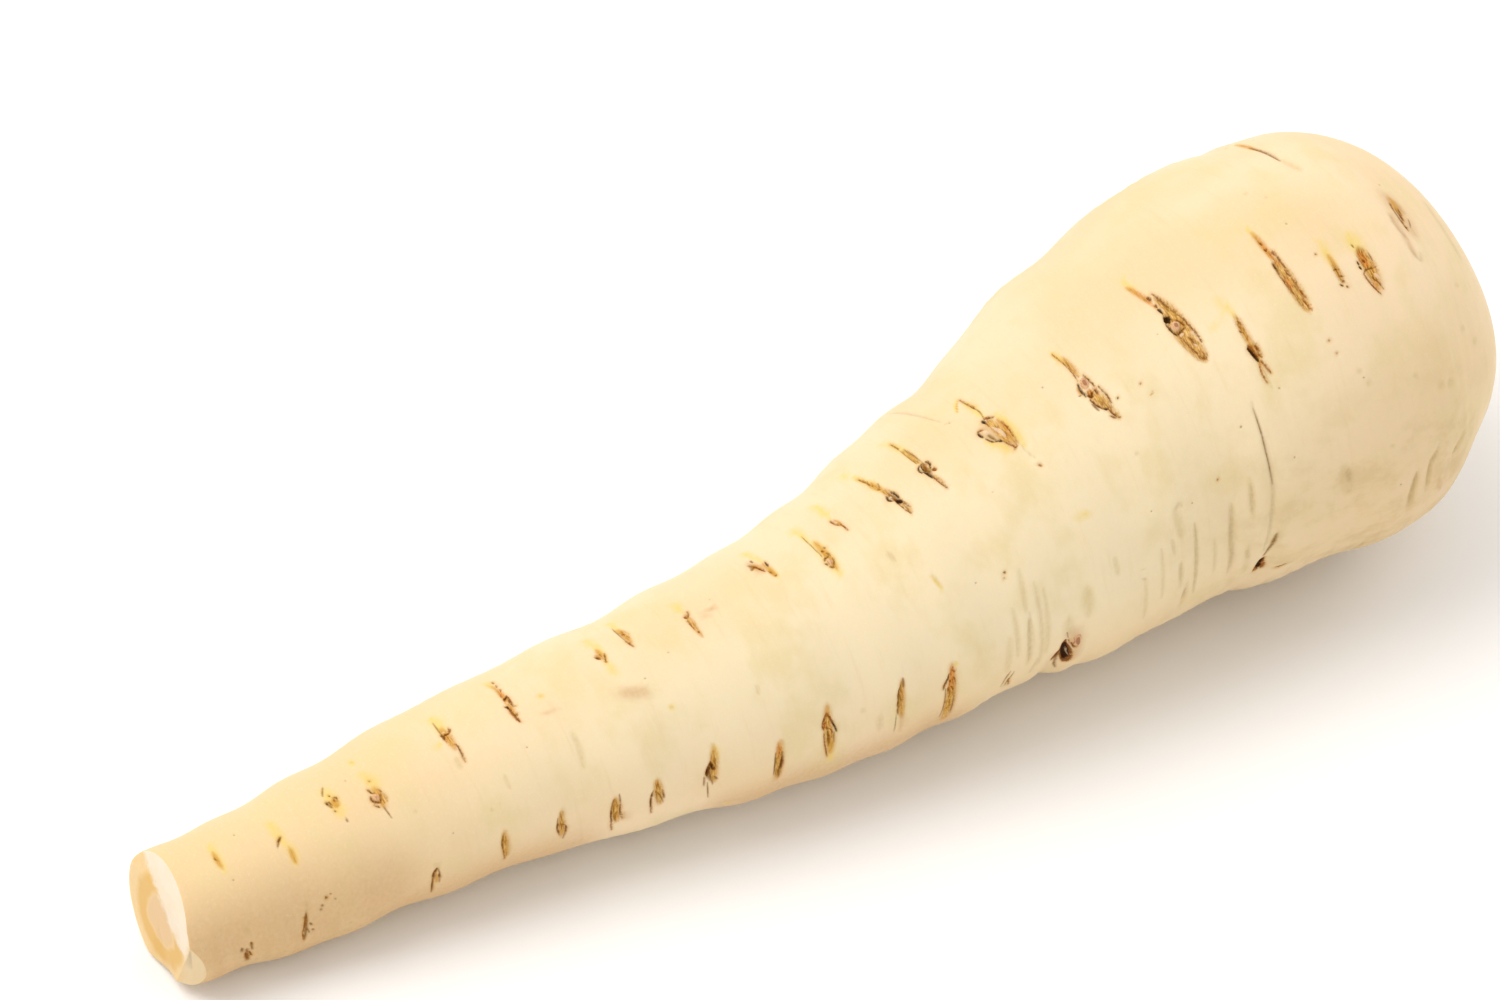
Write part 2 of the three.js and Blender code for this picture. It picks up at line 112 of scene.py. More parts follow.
# Marks on the skin by tone: half width, then the places that each runs through. Yellow, olive and
# amber stain the skin round a scar, tan, sepia and faint are washes, ochre and orange fill a scar,
# brown and black are its cracks and pits, pale is cork and a knob is the end of a broken rootlet.
# A few pale marks are painted highlights on knobs and a few olive and sepia marks painted shade,
# each noted where it stands.
UPPER_SCARS = {
    "yellow": [
        (0.5, (9.5, 80), (9.4, 98), (9.4, 114)), (0.7, (18.8, 88), (18.7, 102), (19.0, 114)),
        (0.6, (19.2, 112), (19.4, 120), (19.2, 130)), (0.9, (27.6, 86), (27.9, 99), (28.0, 112)),
        (0.35, (33.5, 71), (33.6, 78)), (0.8, (33.7, 88), (34.1, 98), (34.0, 106)),
        (0.75, (46.7, 70), (46.9, 82), (46.8, 92)), (0.7, (44.9, 95), (45.5, 96)),
        (0.45, (57.0, 60), (56.9, 72)), (0.2, (57.0, 97.6), (57.0, 98.6)),
        (0.5, (72.4, 68), (72.6, 80), (72.7, 90)), (0.5, (72.3, 90), (72.5, 102)),
        (0.45, (77.2, 58), (77.2, 68), (77.2, 76)), (0.45, (85.8, 74), (86.0, 84)),
        (0.5, (99.7, 64), (100.0, 72), (100.4, 79)), (0.45, (100.5, 83), (100.7, 92)),
        (0.45, (107.3, 70), (107.5, 84)), (0.8, (107.8, 84), (108.2, 94), (108.5, 108)),
        (0.42, (112.0, 64), (112.1, 73), (112.1, 80)), (0.4, (112.1, 74), (112.1, 78)),
        (0.42, (118.2, 60), (118.9, 70), (119.4, 80)), (0.55, (119.3, 76), (120.0, 87)),
        (0.5, (125.7, 62), (126.3, 74), (126.7, 86)), (0.3, (137.4, 70), (136.6, 73), (135.9, 77)),
        (0.55, (137.8, 74), (138.3, 86)), (0.6, (139.8, 88), (140.3, 96), (140.5, 106)),
        (0.5, (136.0, 95), (137.4, 100), (138.6, 105)), (0.45, (138.3, 89), (138.6, 92)),
        (0.4, (151.6, 84), (152.2, 92)), (0.3, (153.0, 107), (153.7, 110)),
        (0.4, (166.0, 80), (166.6, 88)), (0.3, (168.4, 97), (168.9, 103), (169.4, 109)),
        (0.5, (175.0, 107), (175.6, 114)), (0.35, (183.8, 92), (184.1, 98)),
        (0.75, (191.9, 107), (192.0, 116)), (1.2, (197.1, 107), (197.1, 114)),
    ],
    "amber": [
        (0.45, (9.3, 92), (9.2, 101), (9.3, 110)), (0.45, (19.3, 115), (19.2, 130)),
        (0.8, (28.0, 97), (28.0, 105)), (0.95, (33.8, 103), (33.9, 111), (33.9, 118)),
        (0.75, (46.8, 84), (46.9, 95), (46.9, 104)), (0.55, (57.1, 68), (57.1, 84), (56.8, 104)),
        (0.5, (72.3, 80), (72.4, 88)), (0.6, (71.7, 84), (72.3, 90)),
        (0.62, (77.1, 70), (77.3, 78), (77.2, 87)), (0.5, (86.1, 85), (86.1, 94), (86.3, 103)),
        (0.7, (98.6, 77), (99.6, 84)), (0.6, (100.3, 79), (100.6, 91)),
        (0.6, (108.1, 85), (108.3, 94), (108.5, 105)), (0.4, (112.4, 81), (112.9, 88)),
        (0.5, (119.5, 78), (120.1, 88)), (0.18, (137.5, 71), (136.7, 73.4), (136.0, 76.6)),
        (0.5, (139.4, 90), (139.6, 97), (139.3, 103)), (0.45, (152.3, 88), (152.6, 98)),
        (0.35, (151.5, 100), (151.5, 104)), (0.5, (165.9, 84), (166.6, 90), (167.1, 95)),
        (0.65, (175.6, 113), (175.7, 122), (176.0, 132)),
        (0.6, (184.1, 96), (184.3, 104), (184.4, 108)), (0.6, (192.1, 111), (192.1, 119.6)),
        (1.3, (197.3, 112), (197.3, 119), (197.1, 125)), (1.0, (208.6, 96), (208.5, 104)),
    ],
    "sepia": [
        (0.16, (9.0, 98), (9.2, 101)), (0.12, (9.8, 120.5), (10.0, 122)),
        (0.26, (19.0, 104.5), (18.5, 107), (17.8, 112)), (0.2, (27.9, 84), (27.4, 88), (27.0, 92)),
        (0.3, (26.9, 97), (27.3, 103)), (0.22, (28.3, 114), (28.3, 117)),
        (0.16, (33.8, 117), (34.0, 122), (34.2, 127)), (0.16, (46.5, 77), (46.4, 84), (46.4, 90)),
        (0.3, (71.4, 85.5), (71.9, 87.5)), (0.15, (76.8, 67), (76.7, 76), (76.8, 83)),
        (0.35, (98.4, 76.5), (98.7, 79), (98.2, 81)), (0.25, (99.3, 73.5), (99.3, 76)),
        (0.11, (107.3, 78), (107.5, 88), (107.7, 95)),
        (0.13, (120.3, 81), (120.1, 83.2), (119.8, 84.5)),
        (0.45, (120.3, 89.6), (120.6, 92), (121.0, 95)),
        (0.13, (126.1, 72), (126.2, 79), (126.4, 85)),
        (0.13, (126.6, 74), (126.9, 80), (127.1, 86)),
        (0.5, (126.5, 87.4), (127.0, 90), (127.0, 93)),
        (0.14, (138.1, 78), (138.4, 83), (138.1, 87)), (0.25, (137.0, 93), (137.6, 97)),
        (0.16, (152.1, 107), (152.6, 110), (153.2, 112.4)), (0.22, (152.0, 108), (152.4, 111.5)),
        (0.15, (151.0, 103), (151.4, 103.4)), (0.34, (184.0, 107), (184.1, 110.6)),
        (0.2, (196.5, 110.4), (196.6, 111.6)), (0.15, (198.3, 114), (198.4, 116.6)),
        (0.3, (208.2, 101), (208.0, 106)), (0.22, (207.7, 99), (207.5, 104), (207.8, 110)),
        (0.2, (208.9, 100.6), (208.6, 104)), (0.17, (209.5, 105), (209.2, 107), (208.7, 108.6)),
    ],
    "brown": [
        (0.12, (18.9, 105.3), (18.5, 106.8), (18.3, 108)), (0.15, (27.4, 98), (27.5, 101)),
        (0.12, (27.8, 93.2), (27.9, 94)),
        (0.12, (28.1, 99), (28.2, 96.5), (28.6, 97.5), (28.4, 100.4)),
        (0.1, (33.8, 96.6), (33.9, 97.4)),
        (0.2, (32.9, 107.5), (32.8, 110.5), (33.3, 113.2), (33.8, 114)),
        (0.13, (33.8, 114), (34.1, 111.5), (34.2, 109)),
        (0.15, (33.0, 102), (33.2, 105), (33.6, 106.4)), (0.11, (34.3, 105), (34.5, 108)),
        (0.1, (32.7, 114), (33.3, 117)), (0.22, (46.3, 89), (46.4, 92), (46.3, 94)),
        (0.2, (46.3, 91), (46.9, 90.8), (47.3, 91.4)),
        (0.19, (47.2, 91.5), (47.6, 90), (47.7, 87.5)),
        (0.13, (47.2, 99.8), (47.4, 103), (47.3, 108), (47.2, 113)),
        (0.12, (57.7, 64), (57.6, 67)), (0.13, (57.7, 69.5), (57.5, 72)),
        (0.12, (57.6, 75), (57.4, 77.4)), (0.11, (57.1, 79.5), (56.8, 83)),
        (0.2, (56.8, 86.6), (57.1, 84.8), (57.6, 82.8)), (0.2, (57.6, 84), (57.5, 88), (57.4, 92)),
        (0.17, (56.6, 91), (56.7, 95), (56.6, 98)), (0.12, (57.3, 92.3), (57.8, 92.9)),
        (0.12, (56.7, 97), (57.0, 99.6), (57.3, 98)),
        (0.15, (56.7, 99.5), (56.9, 102), (57.0, 104.4)),
        (0.17, (71.5, 86), (71.8, 87.8), (72.0, 88.2)), (0.09, (72.2, 85), (72.4, 87)),
        (0.12, (72.9, 86), (72.6, 89), (72.3, 91.4)), (0.15, (72.2, 91), (72.4, 92)),
        (0.15, (76.8, 83), (77.0, 86), (77.2, 89)), (0.08, (77.0, 77.5), (77.3, 75.8), (77.6, 77)),
        (0.24, (85.8, 86.8), (86.0, 88.2)), (0.13, (86.2, 88), (86.5, 86.5), (86.7, 84.5)),
        (0.09, (85.8, 90), (85.9, 97)), (0.18, (86.1, 98.6), (86.3, 99.5)),
        (0.2, (98.9, 78.6), (99.4, 82.6), (99.7, 85.2)), (0.1, (98.6, 79.6), (99.0, 80.4)),
        (0.12, (100.2, 86), (100.5, 88)), (0.15, (100.5, 90.4), (100.8, 89.9)),
        (0.1, (108.1, 91.8), (108.3, 93)), (0.09, (108.6, 91), (108.8, 92)),
        (0.12, (108.5, 94.5), (108.8, 96.8)), (0.16, (107.6, 97.5), (107.9, 96.3), (108.4, 96.4)),
        (0.12, (108.8, 98), (108.7, 100), (108.3, 101.8)),
        (0.14, (107.8, 100.8), (108.1, 102.2), (108.4, 102)),
        (0.14, (111.9, 80.5), (112.1, 83.2), (112.5, 85.6)),
        (0.11, (112.7, 84.6), (112.9, 87.5), (113.0, 90.4)),
        (0.12, (118.9, 71), (119.2, 76), (119.4, 80)), (0.12, (119.7, 84), (119.9, 84.8)),
        (0.16, (120.5, 92.5), (120.6, 95), (120.7, 97)),
        (0.11, (120.7, 97), (121.0, 100), (121.3, 102.4)), (0.1, (121.3, 96.5), (121.7, 99.8)),
        (0.1, (126.1, 66), (126.2, 72)), (0.13, (127.0, 86), (127.2, 88), (127.1, 90)),
        (0.2, (127.6, 91), (128.0, 92.6)), (0.12, (127.0, 94.5), (127.3, 98), (127.7, 102)),
        (0.12, (137.8, 71), (138.0, 76), (138.3, 80)), (0.13, (137.9, 88.4), (138.0, 91)),
        (0.17, (136.4, 89.8), (136.9, 90.4)), (0.13, (138.3, 99), (138.7, 101.4), (139.2, 103.6)),
        (0.1, (139.7, 92), (140.0, 96), (139.9, 100)),
        (0.17, (138.1, 86.6), (138.7, 87.8), (139.3, 88.8)),
        (0.12, (138.9, 104.4), (139.6, 103.4)), (0.1, (140.8, 114), (141.1, 115)),
        (0.08, (151.6, 85), (152.1, 93), (152.1, 99)),
        (0.12, (153.1, 98.6), (153.4, 101), (153.6, 104)),
        (0.22, (152.1, 104.6), (152.6, 106), (152.9, 104.8)),
        (0.17, (153.4, 104.6), (153.5, 106.8)),
        (0.1, (152.1, 106.6), (152.6, 109.8), (153.2, 112)),
        (0.12, (154.0, 105), (154.4, 109), (154.4, 112)),
        (0.15, (153.7, 113), (153.9, 115), (154.5, 117.4)),
        (0.12, (153.4, 115), (153.9, 116.6), (154.3, 116)), (0.2, (167.2, 92), (167.4, 93.6)),
        (0.14, (167.4, 95.6), (167.5, 96.8)), (0.3, (168.0, 105), (168.1, 105.6)),
        (0.15, (168.7, 103.4), (169.0, 105), (169.3, 107)),
        (0.13, (167.8, 107.6), (168.5, 107.3), (169.2, 107.2)),
        (0.1, (168.0, 92), (168.6, 97), (169.2, 103)),
        (0.12, (169.3, 103), (169.8, 109), (170.0, 114)),
        (0.12, (167.9, 108.6), (168.4, 112), (168.9, 116)), (0.1, (168.9, 110), (169.2, 113)),
        (0.13, (169.0, 116.6), (169.4, 118.6), (169.8, 117.6)),
        (0.11, (175.2, 117.8), (175.4, 118.4)), (0.1, (175.7, 115.4), (175.9, 116.6)),
        (0.3, (175.3, 122.4), (175.8, 126.4)), (0.13, (176.2, 123.4), (176.5, 125.4)),
        (0.1, (176.0, 125.4), (176.4, 127.2)), (0.11, (175.7, 128), (175.5, 131), (175.7, 134)),
        (0.13, (176.0, 127.8), (176.4, 130), (176.7, 132.4)), (0.19, (184.2, 100), (184.3, 101)),
        (0.2, (184.2, 102.3), (184.3, 103.2)), (0.13, (184.8, 104), (184.9, 105.6)),
        (0.09, (183.8, 110), (184.1, 114), (184.5, 118)),
        (0.12, (185.0, 104), (185.2, 109), (185.3, 111)), (0.16, (185.1, 111), (185.4, 112.6)),
        (0.11, (185.3, 113), (185.5, 117), (185.8, 120)), (0.12, (185.2, 119), (185.6, 122.6)),
        (0.1, (191.6, 116), (192.0, 115.5), (192.5, 116)), (0.09, (192.1, 117.6), (192.6, 118.2)),
        (0.1, (192.0, 119.6), (192.3, 119.1), (192.4, 119.9)),
        (0.12, (192.3, 121), (192.5, 121.4)), (0.24, (197.1, 115.2), (197.3, 116.2)),
        (0.12, (195.9, 119.3), (196.8, 118.2), (198.4, 118.4)),
        (0.15, (195.9, 119.4), (196.2, 122.4), (197.0, 125.8)),
        (0.14, (197.1, 120.6), (197.5, 122.6), (197.8, 124.8)), (0.1, (197.6, 113), (197.5, 115)),
        (0.1, (208.3, 103), (208.2, 106)), (0.1, (207.8, 99), (207.6, 101.4)),
        (0.1, (207.6, 106), (207.8, 106.8)), (0.1, (207.7, 108), (207.9, 109)),
        (0.08, (208.8, 101), (208.6, 102.6)),
    ],
    "pale": [
        # Both of these are painted highlights on scar knobs
        (0.1, (18.0, 105.4), (18.3, 105.8)), (0.22, (46.8, 88), (46.8, 89.4)),
        (0.16, (57.0, 87.5), (56.9, 90)), (0.14, (112.3, 82.6), (112.6, 84)),
        # These two and the first on the next line are painted highlights on scar knobs
        (0.19, (120.35, 90.2), (120.3, 91.6)), (0.17, (126.35, 87.6), (126.4, 88.8)),
        (0.14, (127.4, 88.2), (127.4, 89.4)), (0.34, (138.2, 91.5), (138.8, 95), (139.0, 98)),
        (0.3, (136.8, 91), (137.2, 93.5)), (0.14, (167.5, 105), (167.8, 103.6), (168.4, 103.8)),
        (0.26, (167.9, 108.4), (168.6, 108.2)), (0.14, (169.3, 109), (169.6, 111)),
        (0.13, (169.0, 112.6), (169.3, 114)), (0.14, (175.9, 129), (176.1, 132)),
        (0.12, (184.2, 106.2), (184.4, 107)), (0.26, (197.7, 119.8), (197.9, 122)),
    ],
    "black": [
        (0.2, (26.9, 98.3), (27.2, 98)), (0.13, (27.4, 105.8), (27.5, 106.6)),
        (0.13, (57.0, 85), (57.5, 83.5)), (0.17, (56.3, 91.2), (56.7, 92.2)),
        (0.15, (100.8, 79), (100.7, 83)), (0.12, (107.5, 98.4), (107.7, 99.8)),
        (0.16, (119.9, 89.5), (119.8, 91.5), (120.2, 93)),
        (0.17, (120.8, 88.8), (121.1, 91), (121.2, 93.5)), (0.32, (120.7, 93.8), (121.2, 96)),
        (0.14, (126.4, 86.4), (126.0, 87.8), (126.1, 90)),
        (0.13, (126.8, 86), (126.6, 88.4), (126.9, 90)),
        (0.15, (127.5, 86.6), (127.8, 88.3), (127.6, 90.2)),
        (0.22, (126.4, 89.8), (126.7, 92), (126.9, 94.6)), (0.26, (137.7, 87), (137.9, 88.6)),
        (0.2, (136.2, 90), (136.0, 91), (136.2, 93)),
        (0.13, (136.4, 94), (137.0, 96.6), (137.8, 97.8)), (0.2, (137.7, 97.6), (138.2, 98.8)),
        (0.15, (151.9, 99.5), (151.7, 102), (151.9, 105)), (0.2, (153.3, 112), (153.6, 112.8)),
        (0.2, (167.4, 97.4), (167.6, 99.4)), (0.62, (167.5, 101), (167.8, 102.6)),
        (0.14, (167.1, 102.6), (167.2, 105.4), (167.7, 107.8)),
        (0.26, (175.1, 123), (175.4, 125), (175.7, 127.6)), (0.1, (184.0, 107.4), (184.0, 108.8)),
        (0.15, (191.5, 120), (191.8, 120.6)), (0.14, (195.9, 115.6), (195.9, 116.6)),
        (0.17, (195.8, 117), (195.9, 118)),
    ],
    "olive": [
        (0.2, (33.5, 73), (33.6, 76)), (0.45, (46.3, 108), (46.2, 116)),
        (0.35, (56.7, 66), (56.8, 72)), (0.35, (100.5, 86), (100.6, 91)),
        (0.35, (136.6, 93), (137.6, 96.4), (138.4, 98)),
        (0.14, (140.0, 104), (140.3, 108), (140.9, 112)), (0.25, (175.9, 132), (176.0, 136)),
    ],
    "ochre": [
        (0.5, (34.3, 109), (34.3, 116)), (0.45, (46.9, 93), (46.9, 100)),
        (0.42, (77.4, 74), (77.4, 82)), (0.28, (86.2, 88), (86.2, 97)),
        (0.3, (119.4, 78), (119.7, 84)), (0.4, (120.1, 86), (120.6, 91)),
        (0.34, (120.9, 96), (121.4, 102)), (0.25, (126.4, 75), (126.7, 85)),
        (0.6, (126.9, 87), (127.2, 91)), (0.2, (127.1, 94), (127.6, 100)),
        (0.7, (138.4, 91), (138.8, 95), (139.0, 101)), (0.4, (138.3, 88), (138.6, 91)),
        (0.24, (139.8, 98), (139.7, 102), (139.4, 104)), (0.25, (152.4, 90), (152.6, 98)),
        (0.7, (152.4, 104), (153.3, 109), (154.0, 114)), (0.3, (153.8, 113), (154.4, 117.5)),
        (1.1, (168.0, 99), (168.3, 108), (169.3, 119)),
        (0.6, (168.0, 94), (168.8, 102), (169.4, 110)), (0.4, (175.6, 114), (175.6, 121.6)),
        (0.4, (176.1, 122.6), (176.3, 127)), (0.85, (184.6, 106), (184.8, 114), (185.2, 123)),
        (0.42, (192.1, 114), (192.1, 120)), (1.1, (197.3, 112), (197.3, 122)),
    ],
    "knob": [
        (0.5, (33.4, 109), (33.5, 110.5)), (0.36, (108.1, 98), (108.1, 100)),
        (0.68, (152.6, 100.2), (152.6, 102)), (0.66, (168.0, 104.6), (168.1, 105.8)),
    ],
    "orange": [
        (0.22, (46.5, 93.5), (46.5, 97)), (0.2, (47.4, 93.3), (47.4, 95)),
        (0.32, (57.2, 76), (57.2, 84)), (0.26, (56.4, 93), (56.6, 99), (56.8, 104)),
        (0.15, (99.3, 80.5), (99.6, 84)), (0.16, (108.2, 92), (108.3, 93.2)),
        (0.15, (120.8, 94.6), (121.0, 95.4)), (0.3, (127.7, 91), (127.9, 93)),
        (0.2, (139.5, 90.5), (139.9, 94.5), (139.8, 99)), (0.28, (139.1, 103.4), (139.5, 104.2)),
        (0.14, (140.5, 113.2), (140.8, 114.4), (141.1, 114.8)),
        (0.5, (152.5, 103.6), (152.8, 106)), (0.2, (153.5, 104), (153.6, 107)),
        (0.26, (166.3, 86), (166.9, 92), (167.4, 98)),
        (0.28, (184.2, 98), (184.4, 104.6), (184.9, 109)), (0.4, (184.6, 112), (184.7, 115.6)),
        (0.2, (185.5, 120.6), (185.7, 123.4)), (0.75, (197.0, 112.6), (197.2, 118)),
        (0.26, (196.6, 121.6), (196.9, 124.6)),
    ],
    "tan": [
        (0.8, (98.8, 76), (99.2, 84)), (1.3, (137.4, 91), (138.4, 95), (139.2, 101)),
        (0.9, (208.5, 102), (208.7, 111)), (1.6, (208.3, 97), (208.4, 109)),
        (0.6, (206.2, 104), (206.2, 118)),
    ],
    "faint": [
        (0.35, (209.3, 98), (209.6, 103)), (0.3, (205.3, 106), (206.6, 113)),
        (0.34, (206.0, 104), (205.6, 110)),
        (0.3, (205.8, 115), (206.2, 118.6), (207.0, 120), (207.6, 117.4)),
    ],
}
LOWER_SCARS = {
    "sepia": [
        (0.35, (8.1, 180), (8.2, 185)), (0.26, (9.6, 177), (9.7, 186)),
        (0.5, (8.9, 183), (8.9, 192), (9.1, 201)), (0.34, (18.3, 168), (18.0, 178), (17.5, 194)),
        (0.24, (18.5, 178), (18.8, 181)), (0.22, (18.7, 185), (19.1, 186.4)),
        (0.18, (18.0, 182), (18.3, 188)), (0.3, (38.3, 173), (37.8, 177), (37.6, 183)),
        (0.2, (37.6, 180), (37.5, 188), (37.5, 198)), (0.2, (38.5, 174), (38.6, 180), (38.5, 187)),
        (0.25, (48.7, 168), (48.5, 175), (48.7, 180)),
        (0.2, (57.1, 169), (56.9, 177), (57.2, 185)), (0.2, (58.2, 178), (58.1, 184), (57.8, 190)),
        (0.14, (57.5, 176), (58.2, 177.6)), (0.25, (65.7, 170), (65.2, 177), (65.1, 184)),
        (0.17, (66.5, 167), (66.5, 174)), (0.2, (71.5, 172), (71.0, 177), (71.0, 185)),
        (0.14, (71.8, 174), (72.5, 178), (72.9, 184)), (0.2, (72.9, 174), (73.1, 181)),
        (0.5, (80.7, 168), (80.2, 175), (80.5, 181)), (0.2, (79.5, 177), (79.4, 184)),
        (0.22, (81.1, 179), (81.4, 181)), (0.17, (80.6, 181), (80.7, 184.6)),
        (0.16, (79.9, 181), (80.0, 188), (80.2, 196)),
        (0.25, (90.4, 176), (90.2, 183), (90.0, 191)),
        (0.24, (91.5, 177), (91.4, 184), (91.0, 190)), (0.2, (90.9, 189), (90.9, 195)),
        (0.14, (98.8, 176), (98.9, 183)), (0.14, (99.7, 176), (99.5, 183)),
        (0.24, (111.3, 163), (111.2, 168)), (0.26, (110.5, 168), (110.1, 174), (109.8, 181)),
        (0.12, (109.6, 180), (109.4, 192)), (0.16, (117.8, 180), (117.8, 190), (117.5, 201)),
        (0.14, (119.2, 186), (119.1, 200)), (0.2, (128.7, 188), (128.2, 193), (127.6, 199)),
        (0.18, (129.3, 190), (128.8, 196), (128.6, 201)),
        # The first of these is painted shadow below and beside the notch of the scar at 138
        (0.3, (137.3, 194), (137.6, 203), (138.4, 210)), (0.14, (138.0, 180), (138.3, 184)),
    ],
    "brown": [
        (0.17, (8.7, 189), (8.9, 194), (9.1, 199)), (0.14, (9.3, 188), (9.6, 194)),
        (0.1, (9.6, 177.6), (9.7, 180)), (0.14, (18.3, 171), (18.0, 174), (18.0, 177)),
        (0.17, (17.8, 176), (17.7, 180), (17.4, 184)),
        (0.12, (17.3, 183), (17.3, 188), (17.4, 193.5)), (0.1, (17.7, 171.6), (18.2, 172.4)),
        (0.17, (38.4, 173.4), (37.9, 175.8), (37.6, 179.6)),
        (0.1, (37.6, 181), (37.5, 188), (37.5, 195)), (0.13, (38.5, 179), (38.6, 182)),
        (0.09, (48.6, 171), (48.5, 176)), (0.1, (48.6, 179), (48.7, 185), (48.9, 191)),
        (0.12, (57.0, 174), (56.9, 178), (57.1, 182)),
        (0.12, (58.1, 177), (58.3, 180), (58.1, 184)),
        (0.15, (65.1, 178), (65.1, 185), (65.1, 189)),
        (0.1, (65.1, 188), (65.2, 193), (65.5, 199)),
        (0.14, (66.5, 174), (66.4, 181), (66.7, 187)), (0.14, (71.3, 173.6), (71.1, 176.6)),
        (0.11, (71.0, 177), (71.0, 184), (71.1, 190)),
        (0.34, (80.8, 169), (80.2, 173), (79.9, 177)), (0.26, (80.9, 170.6), (81.1, 175)),
        (0.1, (90.5, 180), (90.4, 184)), (0.14, (91.5, 181), (91.3, 186), (91.1, 189)),
        (0.24, (99.0, 164.6), (98.5, 167.4), (98.0, 170.6)),
        (0.2, (99.1, 165.6), (99.5, 169.6), (99.8, 173)), (0.2, (98.0, 170.4), (98.2, 173.6)),
        (0.17, (98.7, 173.2), (99.1, 174.6)), (0.13, (98.3, 171), (98.8, 170.4)),
        (0.16, (99.0, 178.4), (99.1, 179.6)), (0.12, (99.3, 174.8), (99.5, 177)),
        (0.12, (98.1, 175), (98.1, 183), (98.5, 191)),
        (0.15, (110.6, 167.4), (110.2, 170), (110.1, 172.4)), (0.13, (110.0, 174), (109.9, 176.4)),
        (0.1, (109.8, 178), (109.9, 180)), (0.17, (118.0, 175), (117.6, 178), (117.5, 180)),
        (0.15, (118.5, 176.4), (118.6, 178)), (0.12, (119.1, 175), (119.3, 178)),
        (0.13, (118.2, 180), (118.3, 183)), (0.12, (118.8, 180.4), (119.0, 183)),
        (0.1, (119.0, 171), (119.3, 173)), (0.1, (128.8, 195), (129.2, 201)),
        (0.95, (137.9, 185), (138.1, 191), (138.7, 197), (139.0, 202)),
        (0.36, (137.6, 187), (137.2, 194), (136.9, 200)),
        (0.17, (139.0, 188), (139.5, 191), (139.9, 190)),
    ],
    "olive": [
        (0.3, (9.4, 162), (9.6, 168)), (0.35, (18.8, 160), (18.5, 170)),
        (0.3, (38.1, 168), (38.3, 173)), (0.2, (38.8, 168), (38.6, 174)),
        (0.4, (49.4, 176), (49.5, 184)), (0.4, (58.0, 163), (57.9, 169)),
        (0.35, (81.4, 157.4), (81.6, 160)), (0.25, (91.7, 169.6), (91.8, 173)),
        (0.4, (90.2, 190), (90.1, 197)), (0.6, (128.3, 190), (128.4, 202)),
        # This one is painted shadow above the notch of the scar at 138
        (0.9, (138.2, 172), (138.2, 181)),
    ],
    "amber": [
        (0.4, (38.1, 177), (38.1, 187)), (0.75, (49.0, 163), (48.9, 176), (49.1, 189)),
        (0.7, (57.7, 165), (57.6, 175), (57.6, 188)), (0.9, (65.9, 168), (65.8, 180), (65.8, 190)),
        (0.9, (72.2, 165), (72.3, 176), (72.4, 185)),
        (0.75, (81.5, 159), (81.1, 169), (80.9, 183)),
        (0.9, (91.3, 169), (91.0, 180), (90.7, 196)), (0.9, (99.3, 160), (98.9, 170), (98.8, 182)),
        (1.0, (99.0, 168), (98.9, 190)), (0.7, (111.1, 163), (110.6, 174), (110.4, 184)),
        (1.0, (118.9, 167), (118.6, 184), (118.4, 206)),
    ],
    "ochre": [
        (0.42, (48.8, 166), (48.8, 178), (49.0, 186)),
        (0.4, (57.8, 166), (57.6, 174), (57.6, 182)), (0.5, (65.7, 170), (65.7, 180), (65.7, 188)),
        (0.6, (72.2, 166), (72.2, 175), (72.4, 183)),
        (0.55, (81.5, 162), (81.0, 172), (80.7, 181)),
        (0.6, (91.1, 174), (90.9, 183), (90.6, 193)), (0.7, (98.8, 167), (98.8, 175), (98.7, 184)),
        (0.4, (110.9, 165), (110.4, 174), (110.3, 182)),
        (0.6, (118.8, 172), (118.6, 184), (118.5, 204)),
    ],
    "tan": [
        (0.4, (66.9, 182), (67.0, 189)), (0.5, (110.5, 182), (110.4, 192)),
        (1.5, (139.0, 182), (139.4, 198)),
    ],
    "orange": [
        (0.26, (72.3, 166.6), (72.4, 169.4)), (0.4, (91.1, 170.6), (90.9, 181)),
        (0.5, (98.5, 169.4), (98.5, 174)), (0.55, (119.0, 168.6), (118.8, 175), (118.6, 183)),
    ],
    "yellow": [
        (0.5, (81.6, 158), (81.6, 168)), (0.5, (99.0, 180), (99.1, 198)),
        (0.3, (119.5, 167), (119.6, 170)),
    ],
    "black": [
        (0.15, (80.9, 171.4), (80.9, 173.4)), (0.12, (80.2, 172.6), (79.9, 175.6)),
        (0.15, (99.6, 171), (99.9, 174), (100.1, 177)),
        (0.14, (118.4, 172.6), (118.1, 175.4), (117.9, 177)),
        (0.62, (137.8, 187), (138.2, 192), (138.6, 196), (138.8, 200)),
    ],
    "knob": [
        (0.75, (139.8, 185.2), (139.9, 188.6)),
    ],
    "pale": [
        (0.13, (137.9, 180), (138.3, 186), (139.1, 190.6), (139.6, 193)),
        (0.1, (138.6, 192), (138.8, 195), (139.2, 198)),
    ],
}

